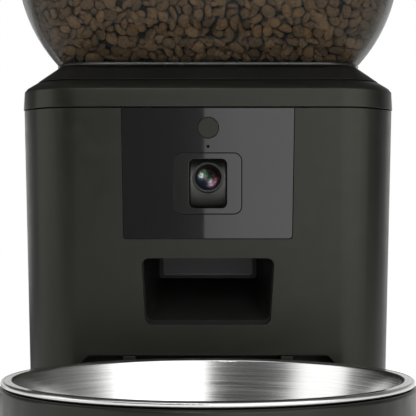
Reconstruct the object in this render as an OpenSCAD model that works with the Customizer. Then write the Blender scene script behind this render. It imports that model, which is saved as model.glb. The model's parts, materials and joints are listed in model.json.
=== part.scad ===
// Automatic pet feeder with a tilting camera, a lift-off food tank and a docked bowl.
// Millimetres. +Z is up, the bowl stands towards -Y, and the floor is at z = 0.

/* [Body] */
// Width and depth of the body at the seam under the top band
body_w = 190; // [175:1:210]
// Corner radius of the body at the seam
corner_r = 29.5; // [25:0.5:35]
// Wall of the moulded shells
wall = 3; // [2.2:0.1:4]
// Inward lean of the body's sides towards the floor, in degrees
draft = 1.3; // [0.5:0.1:2]
// Height of the seam under the top band
seam_z = 183; // [176:1:215]
// Shadow gap at the seam
seam_gap = 0.7; // [0.4:0.1:1.2]
// Height of the rubber feet
foot_h = 3; // [2:0.5:6]
// Radius of the rubber feet
foot_r = 9; // [6:0.5:13]
// Thickness of the base plate
base_t = 3; // [2.2:0.2:5]
// Radius of the screw posts in the corners
post_r = 4.5; // [3.5:0.25:5.5]

/* [Top band] */
// Height of the band above the seam
band_h = 9.2; // [6:0.2:14]
// How far the band stands proud of the body at the seam
band_proud = 0.4; // [0.2:0.1:1.2]
// Rise of the sloped shoulder on top of the band
shoulder_h = 4.8; // [4:0.2:8]
// Run of the sloped shoulder
shoulder_run = 6.4; // [4:0.2:8]
// Depth of the locating lip below the seam
lip_depth = 5; // [3:0.5:7]

/* [Tank] */
// Gap between the top band and the tank's skirt
skirt_gap = 0.5; // [0.4:0.1:1.5]
// Height of the sloped skirt
skirt_h = 7.9; // [6:0.1:14]
// How far the skirt's foot lies in from the edge of the ledge
skirt_inset = 0.5; // [0:0.1:4]
// How far the tank's neck lies in from the body's side
neck_inset = 18.3; // [16.5:0.1:22]
// Height from the neck to the widest line of the tank
belly_h = 53.9; // [40:0.1:75]
// How far the tank's widest line stands out past the body's side
belly_proud = 3.5; // [0:0.5:10]
// Height from the widest line to the tank's mouth
upper_h = 80; // [50:1:130]
// How far the tank's mouth lies in from the body's side
mouth_inset = 2.5; // [0.5:0.5:8]
// Wall of the clear tank
tank_wall = 2.5; // [1.6:0.1:4]
// Depth of the tank's spigot in the throat
spigot_reach = 3.8; // [2:0.2:10]

/* [Lid] */
// Height of the lid's straight side
lid_side_h = 12; // [9:0.5:20]
// Radius of the lid's top edge
lid_edge_r = 6; // [4:0.5:10]
// Wall of the lid
lid_wall = 2.4; // [1.8:0.1:3.4]
// Radius of the hinge pin
hinge_pin_r = 1.5; // [1:0.1:2.2]
// Radius of the hinge knuckles
knuckle_r = 4.2; // [3.6:0.1:5.5]
// Width of the hinge knuckle on the lid
knuckle_w = 27; // [16:1:60]
// Side of the square desiccant box
desiccant_w = 62; // [40:1:100]
// Depth of the desiccant box below the lid
desiccant_h = 16; // [8:1:26]

/* [Front panel] */
// Width of the glossy panel at the seam
panel_w_top = 86; // [72:0.5:105]
// Width of the glossy panel at its foot
panel_w_foot = 84; // [72:0.5:105]
// Distance from the seam down to the panel's lower edge
panel_drop = 65.7; // [60:0.1:70]
// Radius of the panel's lower corners
panel_corner = 1.6; // [0.5:0.1:5]
// Gap round the panel and round the pieces set in it
panel_gap = 0.4; // [0.2:0.05:0.8]
// Thickness of the carrier plate behind the panel
carrier_t = 2.4; // [1.6:0.1:4]
// Distance from the seam down to the feed button's centre
button_drop = 10.5; // [8:0.1:12]
// Radius of the feed button
button_r = 5.3; // [4:0.1:6]
// Travel of the feed button
button_travel = 1.2; // [0.6:0.1:1.6]
// Distance from the seam down to the microphone hole
mic_drop = 19.8; // [18.2:0.1:21.8]
// Radius of the microphone hole
mic_r = 0.75; // [0.4:0.05:1.2]

/* [Camera] */
// Distance from the seam down to the camera's tilt axis
camera_drop = 38.3; // [36.5:0.1:46]
// Width of the camera bezel
bezel_w = 33.3; // [28:0.1:40]
// Height of the camera bezel
bezel_h = 30.2; // [27.5:0.1:33]
// Corner radius of the camera bezel
bezel_corner = 3.8; // [1:0.1:8]
// Width of the camera window
window_w = 18.9; // [18:0.1:24]
// Height of the camera window
window_h = 24.6; // [22:0.1:26]
// Corner radius of the camera window
window_corner = 2.8; // [1:0.1:5]
// Radius of the tilting drum
drum_r = 14; // [12:0.25:16]
// Gap between the drum and the sides of the window
drum_gap = 0.7; // [0.4:0.1:1]
// Depth of the drum's front behind the panel's face
drum_recess = 1.5; // [0.8:0.1:3]
// Upward angle of the lens at rest, in degrees
lens_rise = 13; // [5:0.5:18]
// Outer radius of the lens barrel
lens_r = 7.7; // [6:0.1:8.1]
// Width of the ring round the lens glass
lens_ring = 1.6; // [0.9:0.1:3]
// Radius of the drum's trunnions
trunnion_r = 2; // [1.4:0.1:3]

/* [Chute] */
// Width of the chute mouth at the top
mouth_w_top = 66.3; // [58:0.1:76]
// Width of the chute mouth at the bottom
mouth_w_foot = 63; // [56:0.1:74]
// Distance from the seam down to the chute mouth's upper edge
mouth_drop = 75.6; // [73:0.1:78]
// Height of the chute mouth
mouth_h = 33.2; // [28:0.1:36]
// Corner radius of the chute mouth
mouth_corner = 3.5; // [1.5:0.1:7]
// Inner width of the drop duct
duct_w = 47; // [40:0.5:52]
// Distance from the seam down to where the duct's back wall meets the ramp
throat_drop = 85.7; // [83.5:0.1:88]
// Distance of the throat in front of the body's centre
throat_y = 54.4; // [52:0.1:60]
// Distance of the duct's back wall from the centre at the top
duct_back_y = 26; // [22:0.1:30]
// Wall of the chute
chute_wall = 2.4; // [1.8:0.1:3.2]

/* [Dispenser] */
// Inner radius of the rotor well
well_r = 54; // [50:0.5:58]
// Distance from the seam down to the underside of the well
well_drop = 46; // [44:0.5:50]
// Thickness of the well's floor
floor_t = 3; // [2:0.1:5]
// Slope of the funnel above the well, in degrees
funnel_slope = 26; // [20:0.5:30]
// Wall of the deck
deck_wall = 2.5; // [2:0.1:3.2]
// Number of rotor blades
blades = 6; // [4:1:8]
// Radius of the rotor's hub
hub_r = 14; // [10:0.5:18]
// Thickness of the rotor's blades
blade_t = 3; // [2:0.1:5]
// Radius of the drive shaft
shaft_r = 3; // [2:0.1:4]
// Teeth of the gear on the drive shaft
gear_teeth = 40; // [32:1:44]
// Teeth of the motor's pinion
pinion_teeth = 18; // [14:1:22]
// Tooth module of both gears
gear_module = 1; // [0.8:0.05:1.1]
// Distance from the well's underside down to the gear's underside
gear_drop = 20; // [16:0.5:24]
// Width of the gear's face
gear_t = 7; // [4:0.5:9]
// Radius of the gear motor
motor_r = 12; // [9:0.5:15]
// Length of the gear motor
motor_h = 48; // [30:1:56]

/* [Bowl and tray] */
// Gap between the tray and the body's front
tray_gap = 1.2; // [0.8:0.1:6]
// Outer radius of the tray at its edge
tray_r = 90.3; // [80:0.1:96]
// How much wider the tray is at its foot
tray_flare = 0.8; // [0:0.1:3]
// Height of the tray's edge
tray_h = 54.8; // [46:0.1:58]
// Wall of the tray
tray_wall = 3; // [2.2:0.1:4]
// Height of the tray's rubber pads
pad_h = 2; // [1.2:0.1:3.5]
// How far the bowl's rim lies in from the tray's edge
rim_inset = 0.8; // [0.2:0.1:1.4]
// How far the bowl's flat rim reaches in past the tray's wall
rim_lap = 3.3; // [2:0.1:6]
// Radius of the rolled edge of the rim
bead_r = 1.3; // [1.1:0.1:1.6]
// Thickness of the bowl's steel
bowl_t = 1; // [0.7:0.1:1.3]
// How far the bowl's flat floor lies in from its rim
floor_inset = 21.8; // [18:0.2:30]
// Radius of the fillet between the bowl's floor and wall
bowl_fillet = 16; // [8:0.5:19]
// Height of the bowl's inner floor
bowl_floor_z = 12; // [9.5:0.5:18]

/* [Dock] */
// How far the dock notch's top lies above the tray's edge
dock_rise = 4; // [3.5:0.1:9]
// Half width of the dock notch at the top
dock_half = 59.9; // [50:0.1:63]
// Size of the notch's cut corners
dock_bevel = 4.6; // [2:0.1:7]
// Depth of the dock pocket from the body's front at the seam
dock_depth = 29; // [24:0.5:36]
// Gap between the dock block and the sides of the notch
block_gap = 1.9; // [1:0.1:6]
// How far the dock block's top lies below the tray's edge
block_drop = 4.8; // [2:0.1:10]
// Distance of the block's guide ribs from the middle
rib_x = 39.4; // [25:0.2:48]
// Width of the block's guide ribs
rib_w = 6; // [3:0.5:10]

/* [Hidden] */
$fn = 96;

// Clearances: between pieces that lift apart, round shafts, at press seats and round screws
fit_gap = 0.3;
run_gap = 0.05;
press_gap = 0.02;
hole_gap = 0.2;
// How far a cutting shape runs past the face that it opens
cut = 1;

// The rounded-square plan: every section shares the centres of its corner arcs
core = body_w / 2 - corner_r;
shell_z0 = foot_h;
shell_z1 = seam_z - seam_gap;
base_top = foot_h + base_t;

function half(z) = body_w / 2 - (seam_z - z) * tan(draft);
function arc_points(x, y, r, from, to, steps) =
    [for (i = [0:steps]) let (a = from + (to - from) * i / steps) [x + r * cos(a), y + r * sin(a)]];
function chord_radius(run, rise) = (run * run + rise * rise) / (2 * run);

// Top band and deck levels
band_half = body_w / 2 + band_proud;
band_lean = 0.5;
band_soft = 1.5;
band_top = seam_z + band_h;
ledge_z = band_top + shoulder_h;
ledge_t = 3;
ledge_half = band_half - band_lean - shoulder_run;
lip_t = 2;
lip_z = seam_z - lip_depth;
deck_z = ledge_z - ledge_t;
flange_t = 3;
flange_half = ledge_half - 2.5;

// Tank half widths and levels
neck_half = body_w / 2 - neck_inset;
belly_half = body_w / 2 + belly_proud;
mouth_half = body_w / 2 - mouth_inset;
skirt_half = ledge_half - skirt_inset;
throat_half = neck_half + 1.3;
throat_inner = throat_half - deck_wall;
throat_skirt = 8;
spigot_half = throat_inner - 0.5;
spigot_z = ledge_z - spigot_reach;
skirt_z = ledge_z + skirt_gap;
neck_z = skirt_z + skirt_h;
belly_z = neck_z + belly_h;
mouth_z = belly_z + upper_h;
lower_arc = chord_radius(belly_half - neck_half, belly_h);
upper_arc = chord_radius(belly_half - mouth_half, upper_h);
seal_w = 3;
seal_h = 2;
seal_z = ledge_z + fit_gap;
seal_half = (throat_half + skirt_half) / 2;

// Screws, and corner posts midway between the throat's corner and the shell's corner
screw_r = 1.5;
screw_head_r = 2.8;
screw_head_t = 1.6;
post_reach = (throat_half + half(base_top) - wall) / 2 - core;
post_at = core + post_reach / sqrt(2);
post_top = deck_z - flange_t;
post_bore = 12;
base_screw = 10;
deck_bite = 8;
deck_screw = ledge_t + flange_t - screw_head_t + deck_bite;

// Rim ring, lid and hinge levels
rim_wall = 1.6;
rim_outer = mouth_half + 0.9 + rim_wall;
rim_inner = mouth_half - tank_wall - 1;
rim_drop = 4.5;
rim_top = mouth_z + 2.2;
lid_half = rim_outer;
lid_inner = lid_half - lid_wall;
lid_z = rim_top + 0.4;
lid_top = lid_z + lid_side_h + lid_edge_r;
gasket_z = rim_top + fit_gap;
liner_z = gasket_z + 2;
liner_top = liner_z + 2;
lid_boss_at = core - 6;
lid_boss_r = 4;
lid_bore = lid_side_h - 3;
hinge_y = lid_half + knuckle_r + fit_gap;
hinge_z = rim_top + 3;
lug_w = 6;
lug_x = knuckle_w / 2 + fit_gap;
tab_w = 36;
tab_reach = 4;
tab_h = 4;
box_wall = 2;
box_corner = 5;
box_slots = 7;
box_slot_w = 3;
box_slot_pitch = (desiccant_w - 13) / box_slots;

// Chute levels
mouth_top_z = seam_z - mouth_drop;
mouth_mid_z = mouth_top_z - mouth_h / 2;
throat_z = seam_z - throat_drop;
throat_h = 15;
throat_front_y = throat_y + 2.1;
throat_corner = 2;
well_z = seam_z - well_drop;
duct_slope = atan2(well_z - throat_z, throat_y - duct_back_y);
duct_heel = 4;
sensor_w = 5;
sensor_l = 8;
sensor_h = 9;
sensor_drop = 14;
sensor_back = 9;
sensor_z = well_z - sensor_drop;
sensor_y = sensor_back - throat_y;

// Front panel places, measured inwards from the drafted face
panel_t = wall;
panel_foot_z = seam_z - panel_drop;
panel_mid_z = (panel_foot_z + shell_z1) / 2;
panel_h = shell_z1 - panel_foot_z;
carrier_back = panel_t + carrier_t;
carrier_lap = 6;
carrier_half_top = panel_w_top / 2 + carrier_lap;
carrier_half_foot = panel_w_foot / 2 + carrier_lap;
carrier_corner = 3;
carrier_top_z = seam_z - fit_gap;
carrier_foot_z = (panel_foot_z + mouth_top_z + chute_wall) / 2;
carrier_h = carrier_top_z - carrier_foot_z;
button_z = seam_z - button_drop;
button_gap = 0.15;
flange_r = button_r + 0.8;
flange_y = panel_t + fit_gap;
button_flange_t = 1;
stem_r = 1.6;
mic_z = seam_z - mic_drop;
mic_body_r = 2.2;
led_x = bezel_w / 2 + 6.35;
led_r = 2.5;
led_y = panel_t + led_r + fit_gap;

// Camera places, measured the same way
camera_z = seam_z - camera_drop;
drum_w = window_w - 2 * drum_gap;
drum_y = drum_recess + drum_r;
drum_back = 3;
lens_seat = 4;
lens_front = drum_r + 0.4;
glass_r = lens_r - lens_ring;
glass_seat = lens_front - 2.4;
glass_bulge = 2.2;
sensor_side = 15;
sensor_board_t = 1.2;
chip_t = 1.4;
bracket_t = 2.5;
bracket_x = window_w / 2 + 0.7;
bracket_half_h = 9;
bracket_y = drum_y + norm([drum_back + sensor_board_t + chip_t, sensor_side / 2]) + 1.6;

// Front board, behind the carrier
board_t = 1.6;
front_board_y = carrier_back + 3;
front_board_top = seam_z - 4;
front_board_foot = camera_z + drum_r + 1.2;
front_board_half = led_x + 7;
wing_inner = led_x - 7;
wing_foot = camera_z - 8.7;
standoff_x = 21;
standoff_z = seam_z - 15;
standoff_r = 2.5;
switch_side = 6;
switch_h = 1;
plunger_y = front_board_y - switch_h - 0.4;

// Dispenser places
well_out = well_r + deck_wall;
funnel_rise = tan(funnel_slope);
funnel_reach = core * sqrt(2) + throat_inner - core;
well_top_z = floor(10 * (spigot_z - 1.5 - (funnel_reach - well_r) * funnel_rise)) / 10;
rotor_z = well_z + floor_t + 1.2;
rotor_top = well_top_z - 4;
rotor_r = well_r - 1.5;
wiper_in = rotor_r - 14;
shield_z = rotor_top + 1.5;
shield_t = 2.5;
shield_lap = 9;
cap_h = 14;
finger_r = 2;
finger_h = 24;
outlet_x = duct_w / 2 - 0.5;
outlet_front = throat_y - 1.4;
outlet_back = duct_back_y + 1;

// Drive places
bush_t = 2;
bush_r = shaft_r + bush_t;
hex_rim = 1.4;
hex_r = shaft_r + hex_rim;
collar = 1;
gear_z = well_z - gear_drop;
gear_pitch = gear_teeth * gear_module / 2;
pinion_pitch = pinion_teeth * gear_module / 2;
pressure_angle = 20;
tooth_offset = (gear_teeth / 4 - floor(gear_teeth / 4)) * 360 / gear_teeth;
pinion_turn = 270 + 180 / pinion_teeth + tooth_offset * gear_teeth / pinion_teeth;
motor_y = gear_pitch + pinion_pitch;
motor_shaft_r = 2.6;
motor_hex_r = motor_shaft_r - 0.2;
motor_nose_r = 5;
bracket_plate_t = 3;
bracket_plate_z = gear_z - 7;
bracket_plate_top = bracket_plate_z + bracket_plate_t;
bracket_post_r = 3.5;
bracket_post_x = duct_w / 2 + chute_wall + bracket_post_r + 0.6;
bracket_post_front = -17;
bracket_post_back = sqrt(pow(well_r - 0.7, 2) - pow(bracket_post_x, 2));
bracket_margin = 1.5;
bracket_screw = 12;

// Electronics on the back wall, measured inwards from its drafted face
board_gap = 4;
board_y = wall + board_gap;
board_half = 48;
board_foot = 24;
board_top = 108;
board_hole_x = 42;
board_hole_z = [30, 102];
board_post_r = 3;
shield_side = 28;
shield_can_t = 3;
shield_can_z = 62;
driver_side = 14;
driver_t = 1.6;
driver_x = -34;
driver_z = 84;
capacitor_r = 4;
capacitor_h = 10;
capacitor_x = [20, 32];
capacitor_z = 46;
plug_w = 10;
plug_t = 6;
plug_h = 7;
plug_x = [-30, -16, -2];
plug_z = 34;
jack_x = 26;
jack_z = 33;
jack_w = 9.6;
jack_h = 4.4;
jack_wall = 0.5;
jack_sink = 0.2;
speaker_drop = 38;
speaker_z = seam_z - speaker_drop;
speaker_r = 20;
speaker_rim_t = 3;
speaker_step = 5;
grille_r = 17;
grille_sink = 0.3;

// Bowl and tray places
tray_foot_r = tray_r + tray_flare;
tray_floor = pad_h + 3;
bowl_y = half(tray_h) + tray_foot_r + tray_gap;
rim_r = tray_r - rim_inset;
rim_inner_r = tray_r - tray_wall - rim_lap;
rim_z = tray_h + fit_gap + 2 * bead_r;
rim_bend = 0.4;
rim_fillet = bowl_t + rim_bend;
rim_sink = 0.1;
rim_fillet_x = rim_inner_r + rim_fillet;
bowl_floor_r = rim_inner_r - floor_inset;
wall_rise = rim_z - rim_sink - rim_fillet - bowl_floor_z - bowl_fillet;
wall_run = rim_fillet_x - bowl_floor_r;
wall_lean = acos((bowl_fillet + rim_fillet) / norm([wall_run, wall_rise])) - atan2(wall_rise, wall_run);
pad_r = 7;

// Dock places
dock_z = tray_h + dock_rise;
dock_back_y = body_w / 2 - dock_depth;
pocket_half = dock_half + dock_bevel + 0.5;
pocket_wall = 2.4;
pocket_roof = dock_z + 1.7;
block_half = dock_half - block_gap;
block_h = tray_h - block_drop;
block_back = dock_back_y + 4;
block_wall = 3;
rib_top = dock_z - 0.4;

// The part stands with the middle of its footprint at the origin
back_reach = hinge_y + knuckle_r;
front_reach = bowl_y + tray_foot_r;
body_y = (front_reach - back_reach) / 2;

// Colours as photographed
body_black = [0.17, 0.17, 0.16];
deep_black = [0.08, 0.08, 0.08];
gloss_black = [0.13, 0.13, 0.13];
soft_grey = [0.35, 0.35, 0.36];
steel = [0.78, 0.78, 0.79];
bronze = [0.72, 0.6, 0.35];
gear_white = [0.85, 0.85, 0.8];
board_green = [0.1, 0.3, 0.18];
lens_black = [0.05, 0.08, 0.08];
smoke = [0.3, 0.28, 0.26, 0.5];

// Sets a piece in the part's own frame
module in_place() {
    translate([0, body_y, 0]) children();
}

// Sweeps a profile round the rounded-square plan: x is the distance out from the core, y the height
module around() {
    for (turn = [0:90:270]) {
        rotate(turn) translate([core, core, 0]) {
            rotate_extrude(angle = 90) children();
            rotate([90, 0, 0]) linear_extrude(2 * core) children();
        }
    }
}

// Sweeps a profile that starts at the core line, and fills the core between two heights
module filled_around(z0, z1) {
    around() children();
    translate([-core, -core, z0]) cube([2 * core, 2 * core, z1 - z0]);
}

// A plain rounded-square ring between two half widths and two heights
module square_ring(inner, outer, z0, z1) {
    around() translate([inner - core, z0]) square([outer - inner, z1 - z0]);
}

// A plain rounded-square block
module square_block(outer, z0, z1) {
    filled_around(z0, z1) translate([0, z0]) square([outer - core, z1 - z0]);
}

// The drafted body as a solid block, drawn in from its outer face
module body_block(inset) {
    filled_around(shell_z0, shell_z1)
        polygon([
            [0, shell_z0], [half(shell_z0) - core - inset, shell_z0],
            [half(shell_z1) - core - inset, shell_z1], [0, shell_z1]
        ]);
}

// Frame on the drafted front face at a height: y points into the body, z up along the face
module on_front(z) {
    translate([0, -half(z), z]) rotate([draft, 0, 0]) children();
}

// The same frame on the back face
module on_back(z) {
    rotate(180) on_front(z) children();
}

// Extrudes an upright outline from one depth to another
module slab(from, to) {
    translate([0, to, 0]) rotate([90, 0, 0]) linear_extrude(to - from) children();
}

// A cylinder that runs inwards from one depth to another
module rod(r, from, to) {
    translate([0, to, 0]) rotate([90, 0, 0]) cylinder(r = r, h = to - from);
}

// A cylinder along the X axis, centred
module cross_rod(r, length) {
    rotate([0, 90, 0]) cylinder(r = r, h = length, center = true);
}

module rounded(w, h, r) {
    square([w - 2 * r, h], center = true);
    square([w, h - 2 * r], center = true);
    for (x = [-1, 1], y = [-1, 1]) {
        translate([x * (w / 2 - r), y * (h / 2 - r)]) circle(r);
    }
}

// A trapezoid, centred, with round lower corners and a choice of upper corner radius
module tapered_outline(half_top, half_foot, h, r_top, r_foot) {
    steps = 6;
    polygon(concat(
        arc_points(half_foot - r_foot, r_foot - h / 2, r_foot, -90, 0, steps),
        arc_points(half_top - r_top, h / 2 - r_top, r_top, 0, 90, steps),
        arc_points(r_top - half_top, h / 2 - r_top, r_top, 90, 180, steps),
        arc_points(r_foot - half_foot, r_foot - h / 2, r_foot, 180, 270, steps)
    ));
}

// Repeats a piece at the four corners of a square
module at_corners(at) {
    for (x = [-1, 1], y = [-1, 1]) {
        translate([x * at, y * at, 0]) children();
    }
}

// A pan-head screw, head down at the origin, shank up
module screw(length) {
    cylinder(r = screw_head_r, h = screw_head_t);
    translate([0, 0, screw_head_t]) cylinder(r = screw_r - press_gap, h = length);
}

// Body shell

module shell_wall() {
    around() polygon([
        [half(shell_z0) - core - wall, shell_z0], [half(shell_z0) - core, shell_z0],
        [half(shell_z1) - core, shell_z1], [half(shell_z1) - core - wall, shell_z1]
    ]);
}

// Screw posts, each tied to its corner by a rib that ends below the band's lip
module corner_posts() {
    rib_t = 2.4;
    rib_h = lip_z - 2 - base_top;
    at_corners(post_at) translate([0, 0, base_top]) cylinder(r = post_r, h = post_top - base_top);
    intersection() {
        for (turn = [45:90:315]) {
            rotate(turn) translate([norm([post_at, post_at]), -rib_t / 2, base_top])
                cube([corner_r, rib_t, rib_h]);
        }
        body_block(0);
    }
}

module post_bores() {
    at_corners(post_at) {
        translate([0, 0, base_top - cut]) cylinder(r = screw_r, h = post_bore + cut);
        translate([0, 0, post_top - post_bore]) cylinder(r = screw_r, h = post_bore + cut);
    }
}

// Notch that the glossy panel fills, open at the seam
module panel_notch() {
    extra = 10;
    slope = (panel_w_top - panel_w_foot) / 2 / panel_h;
    half_top = panel_w_top / 2 + panel_gap + slope * extra;
    half_foot = panel_w_foot / 2 + panel_gap;
    height = panel_h + extra + panel_gap;
    on_front(panel_mid_z) translate([0, 0, (extra - panel_gap) / 2])
        slab(-cut, wall + cut) tapered_outline(half_top, half_foot, height, 0.1, panel_corner);
}

module mouth_outline(grow) {
    corner = mouth_corner + grow;
    tapered_outline(mouth_w_top / 2 + grow, mouth_w_foot / 2 + grow, mouth_h + 2 * grow, corner, corner);
}

module mouth_cut() {
    on_front(mouth_mid_z) slab(-cut, wall + cut) mouth_outline(0);
}

// Dock notch with cut upper corners, open at the floor
module dock_cut() {
    slab(-body_w, -dock_back_y)
        polygon([
            [-dock_half - dock_bevel, 0], [dock_half + dock_bevel, 0],
            [dock_half + dock_bevel, dock_z - dock_bevel], [dock_half, dock_z],
            [-dock_half, dock_z], [-dock_half - dock_bevel, dock_z - dock_bevel]
        ]);
}

// Places of the main board's screws on the back wall
module board_hole_places() {
    on_back(seam_z) {
        for (x = [-1, 1], z = board_hole_z) {
            translate([x * board_hole_x, 0, z - seam_z]) children();
        }
    }
}

module back_cuts() {
    room = 2 * hole_gap;
    on_back(speaker_z) rod(grille_r + hole_gap, -cut, wall + cut);
    on_back(jack_z) translate([jack_x, 0, 0]) slab(-cut, wall + cut)
        rounded(jack_w + 2 * room, jack_h + 2 * room, jack_h / 2 + room - 0.1);
}

module main_shell() {
    color(body_black) difference() {
        union() {
            shell_wall();
            corner_posts();
            board_hole_places() rod(board_post_r, wall / 2, board_y);
        }
        post_bores();
        board_hole_places() rod(screw_r, wall, board_y + cut);
        panel_notch();
        mouth_cut();
        dock_cut();
        back_cuts();
    }
}

// Band with a sloped shoulder, a ledge for the tank and a lip that locates it in the shell
module top_band() {
    lip_half = half(lip_z) - wall - fit_gap;
    carrier_spread = max(0, carrier_half_foot - carrier_half_top) * lip_depth / carrier_h;
    lip_gap = carrier_half_top + carrier_spread + fit_gap;
    edge = band_half - band_lean;
    color(body_black) difference() {
        around() polygon([for (p = [
            [band_half, seam_z], [edge, band_top], [edge - band_soft, band_top + 1.2 * band_soft],
            [ledge_half, ledge_z], [throat_half + fit_gap, ledge_z], [throat_half + fit_gap, deck_z],
            [flange_half + 1, deck_z], [lip_half - lip_t, deck_z - 2],
            [lip_half - lip_t, lip_z], [lip_half, lip_z], [lip_half, seam_z]
        ]) [p[0] - core, p[1]]]);
        translate([-lip_gap, -body_w, lip_z - cut]) cube([2 * lip_gap, body_w, lip_depth + cut]);
        at_corners(post_at) {
            translate([0, 0, deck_z - cut]) cylinder(r = screw_r + hole_gap, h = ledge_t + 2 * cut);
            translate([0, 0, ledge_z - screw_head_t - hole_gap])
                cylinder(r = screw_head_r + hole_gap, h = screw_head_t + hole_gap + cut);
        }
    }
}

module base_plate() {
    color(deep_black) difference() {
        square_block(half(shell_z0) - wall - fit_gap, foot_h, base_top);
        translate([-pocket_half, -body_w, foot_h - cut])
            cube([2 * pocket_half, body_w - dock_back_y, base_t + 2 * cut]);
        at_corners(post_at) translate([0, 0, foot_h - cut]) {
            cylinder(r = screw_r + hole_gap, h = base_t + 2 * cut);
            cylinder(r = screw_head_r + hole_gap, h = screw_head_t + cut);
        }
    }
}

module rubber_feet() {
    edge = 0.8;
    front_y = 20 - dock_back_y;
    color(soft_grey) for (x = [-core, core], y = [front_y, core]) {
        translate([x, y, 0]) {
            cylinder(r1 = foot_r - edge, r2 = foot_r, h = edge);
            translate([0, 0, edge]) cylinder(r = foot_r, h = foot_h - edge);
        }
    }
}

module base_screws() {
    color(steel) at_corners(post_at) translate([0, 0, foot_h]) screw(base_screw);
}

// Pocket behind the notch that takes the tray's dock block
module dock_housing() {
    outer = pocket_half + pocket_wall;
    color(deep_black) intersection() {
        difference() {
            translate([-outer, -body_w, base_top])
                cube([2 * outer, body_w - dock_back_y + pocket_wall, pocket_roof + pocket_wall - base_top]);
            translate([-pocket_half, -2 * body_w, 0])
                cube([2 * pocket_half, 2 * body_w - dock_back_y, pocket_roof]);
            at_corners(post_at) cylinder(r = post_r + fit_gap, h = pocket_roof + pocket_wall + cut);
        }
        body_block(wall + fit_gap);
    }
}

// Front panel

module button_hole(r) {
    on_front(button_z) rod(r, -cut, carrier_back + cut);
}

module front_panel() {
    color(gloss_black) difference() {
        on_front(panel_mid_z) slab(0, panel_t)
            tapered_outline(panel_w_top / 2, panel_w_foot / 2, panel_h, 0.1, panel_corner);
        button_hole(button_r + button_gap);
        on_front(mic_z) rod(mic_r, -cut, panel_t + cut);
        on_front(camera_z) slab(-cut, panel_t + cut)
            rounded(bezel_w + 2 * panel_gap, bezel_h + 2 * panel_gap, bezel_corner + panel_gap);
    }
}

// Plate behind the panel, with standoffs for the front board
module panel_carrier() {
    middle = (carrier_top_z + carrier_foot_z) / 2;
    color(deep_black) difference() {
        union() {
            on_front(panel_mid_z) translate([0, 0, middle - panel_mid_z]) slab(panel_t, carrier_back)
                tapered_outline(
                    carrier_half_top, carrier_half_foot, carrier_h, carrier_corner, carrier_corner
                );
            for (x = [-standoff_x, standoff_x]) {
                on_front(standoff_z) translate([x, 0, 0]) rod(standoff_r, panel_t + cut, front_board_y);
            }
        }
        button_hole(flange_r + fit_gap);
        on_front(mic_z) rod(mic_r + fit_gap, 0, carrier_back + cut);
        on_front(camera_z) slab(0, carrier_back + cut) rounded(window_w + 0.8, bezel_h - 2, window_corner);
        for (x = [-led_x, led_x]) {
            on_front(camera_z) translate([x, 0, 0]) rod(led_r + fit_gap, 0, carrier_back + cut);
        }
    }
}

// Board with two wings that pass the camera's sides
module front_board() {
    color(board_green) on_front(seam_z) slab(front_board_y, front_board_y + board_t) {
        translate([-front_board_half, front_board_foot - seam_z])
            square([2 * front_board_half, front_board_top - front_board_foot]);
        for (x = [-front_board_half, wing_inner]) {
            translate([x, wing_foot - seam_z])
                square([front_board_half - wing_inner, front_board_foot - wing_foot + cut]);
        }
    }
}

module button_switch() {
    color(deep_black) on_front(button_z) {
        translate([-switch_side / 2, front_board_y - switch_h, -switch_side / 2])
            cube([switch_side, switch_h, switch_side]);
        rod(stem_r, plunger_y, front_board_y - switch_h);
    }
}

module microphone() {
    color(steel) on_front(mic_z) rod(mic_body_r, carrier_back + hole_gap, front_board_y);
}

module infrared_leds() {
    color(deep_black) for (x = [-led_x, led_x]) {
        on_front(camera_z) translate([x, 0, 0]) {
            rod(led_r, led_y, front_board_y);
            intersection() {
                translate([0, led_y, 0]) sphere(led_r);
                rod(2 * led_r, 0, led_y);
            }
        }
    }
}

// Button with a flange that keeps it behind the panel and a stem that meets the switch
module feed_button() {
    sink = 0.2;
    stem_end = plunger_y - button_travel - hole_gap;
    color(body_black) on_front(button_z) {
        rod(button_r, sink, flange_y);
        rod(flange_r, flange_y, flange_y + button_flange_t);
        rod(stem_r, flange_y + button_flange_t, stem_end);
    }
}

// Camera

module camera_bezel() {
    color(gloss_black) on_front(camera_z) difference() {
        slab(0, panel_t) rounded(bezel_w, bezel_h, bezel_corner);
        slab(-cut, panel_t + cut) rounded(window_w, window_h, window_corner);
    }
}

// U-shaped bracket whose ears hold the drum's trunnions
module camera_bracket() {
    ear = bracket_x + bracket_t;
    color(deep_black) on_front(camera_z) difference() {
        union() {
            for (x = [-ear, bracket_x]) {
                translate([x, carrier_back, -bracket_half_h])
                    cube([bracket_t, bracket_y - carrier_back, 2 * bracket_half_h]);
            }
            translate([-ear, bracket_y, -bracket_half_h]) cube([2 * ear, bracket_t, 2 * bracket_half_h]);
        }
        translate([0, drum_y, 0]) cross_rod(trunnion_r + run_gap, 4 * ear);
    }
}

// Frame on the camera's tilt axis with y pointing forward along the lens
module on_lens() {
    on_front(camera_z) translate([0, drum_y, 0]) rotate([-lens_rise, 0, 0]) rotate(180) children();
}

// Drum with trunnions, a flat back for the sensor board and a seat for the lens barrel
module camera_drum() {
    color(body_black) difference() {
        on_front(camera_z) translate([0, drum_y, 0]) {
            cross_rod(drum_r, drum_w);
            cross_rod(trunnion_r, 2 * (bracket_x + bracket_t));
        }
        on_lens() {
            translate([-drum_w, -2 * drum_r - drum_back, -2 * drum_r])
                cube([2 * drum_w, 2 * drum_r, 4 * drum_r]);
            rod(lens_r + press_gap, lens_seat, 2 * drum_r);
        }
    }
}

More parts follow.
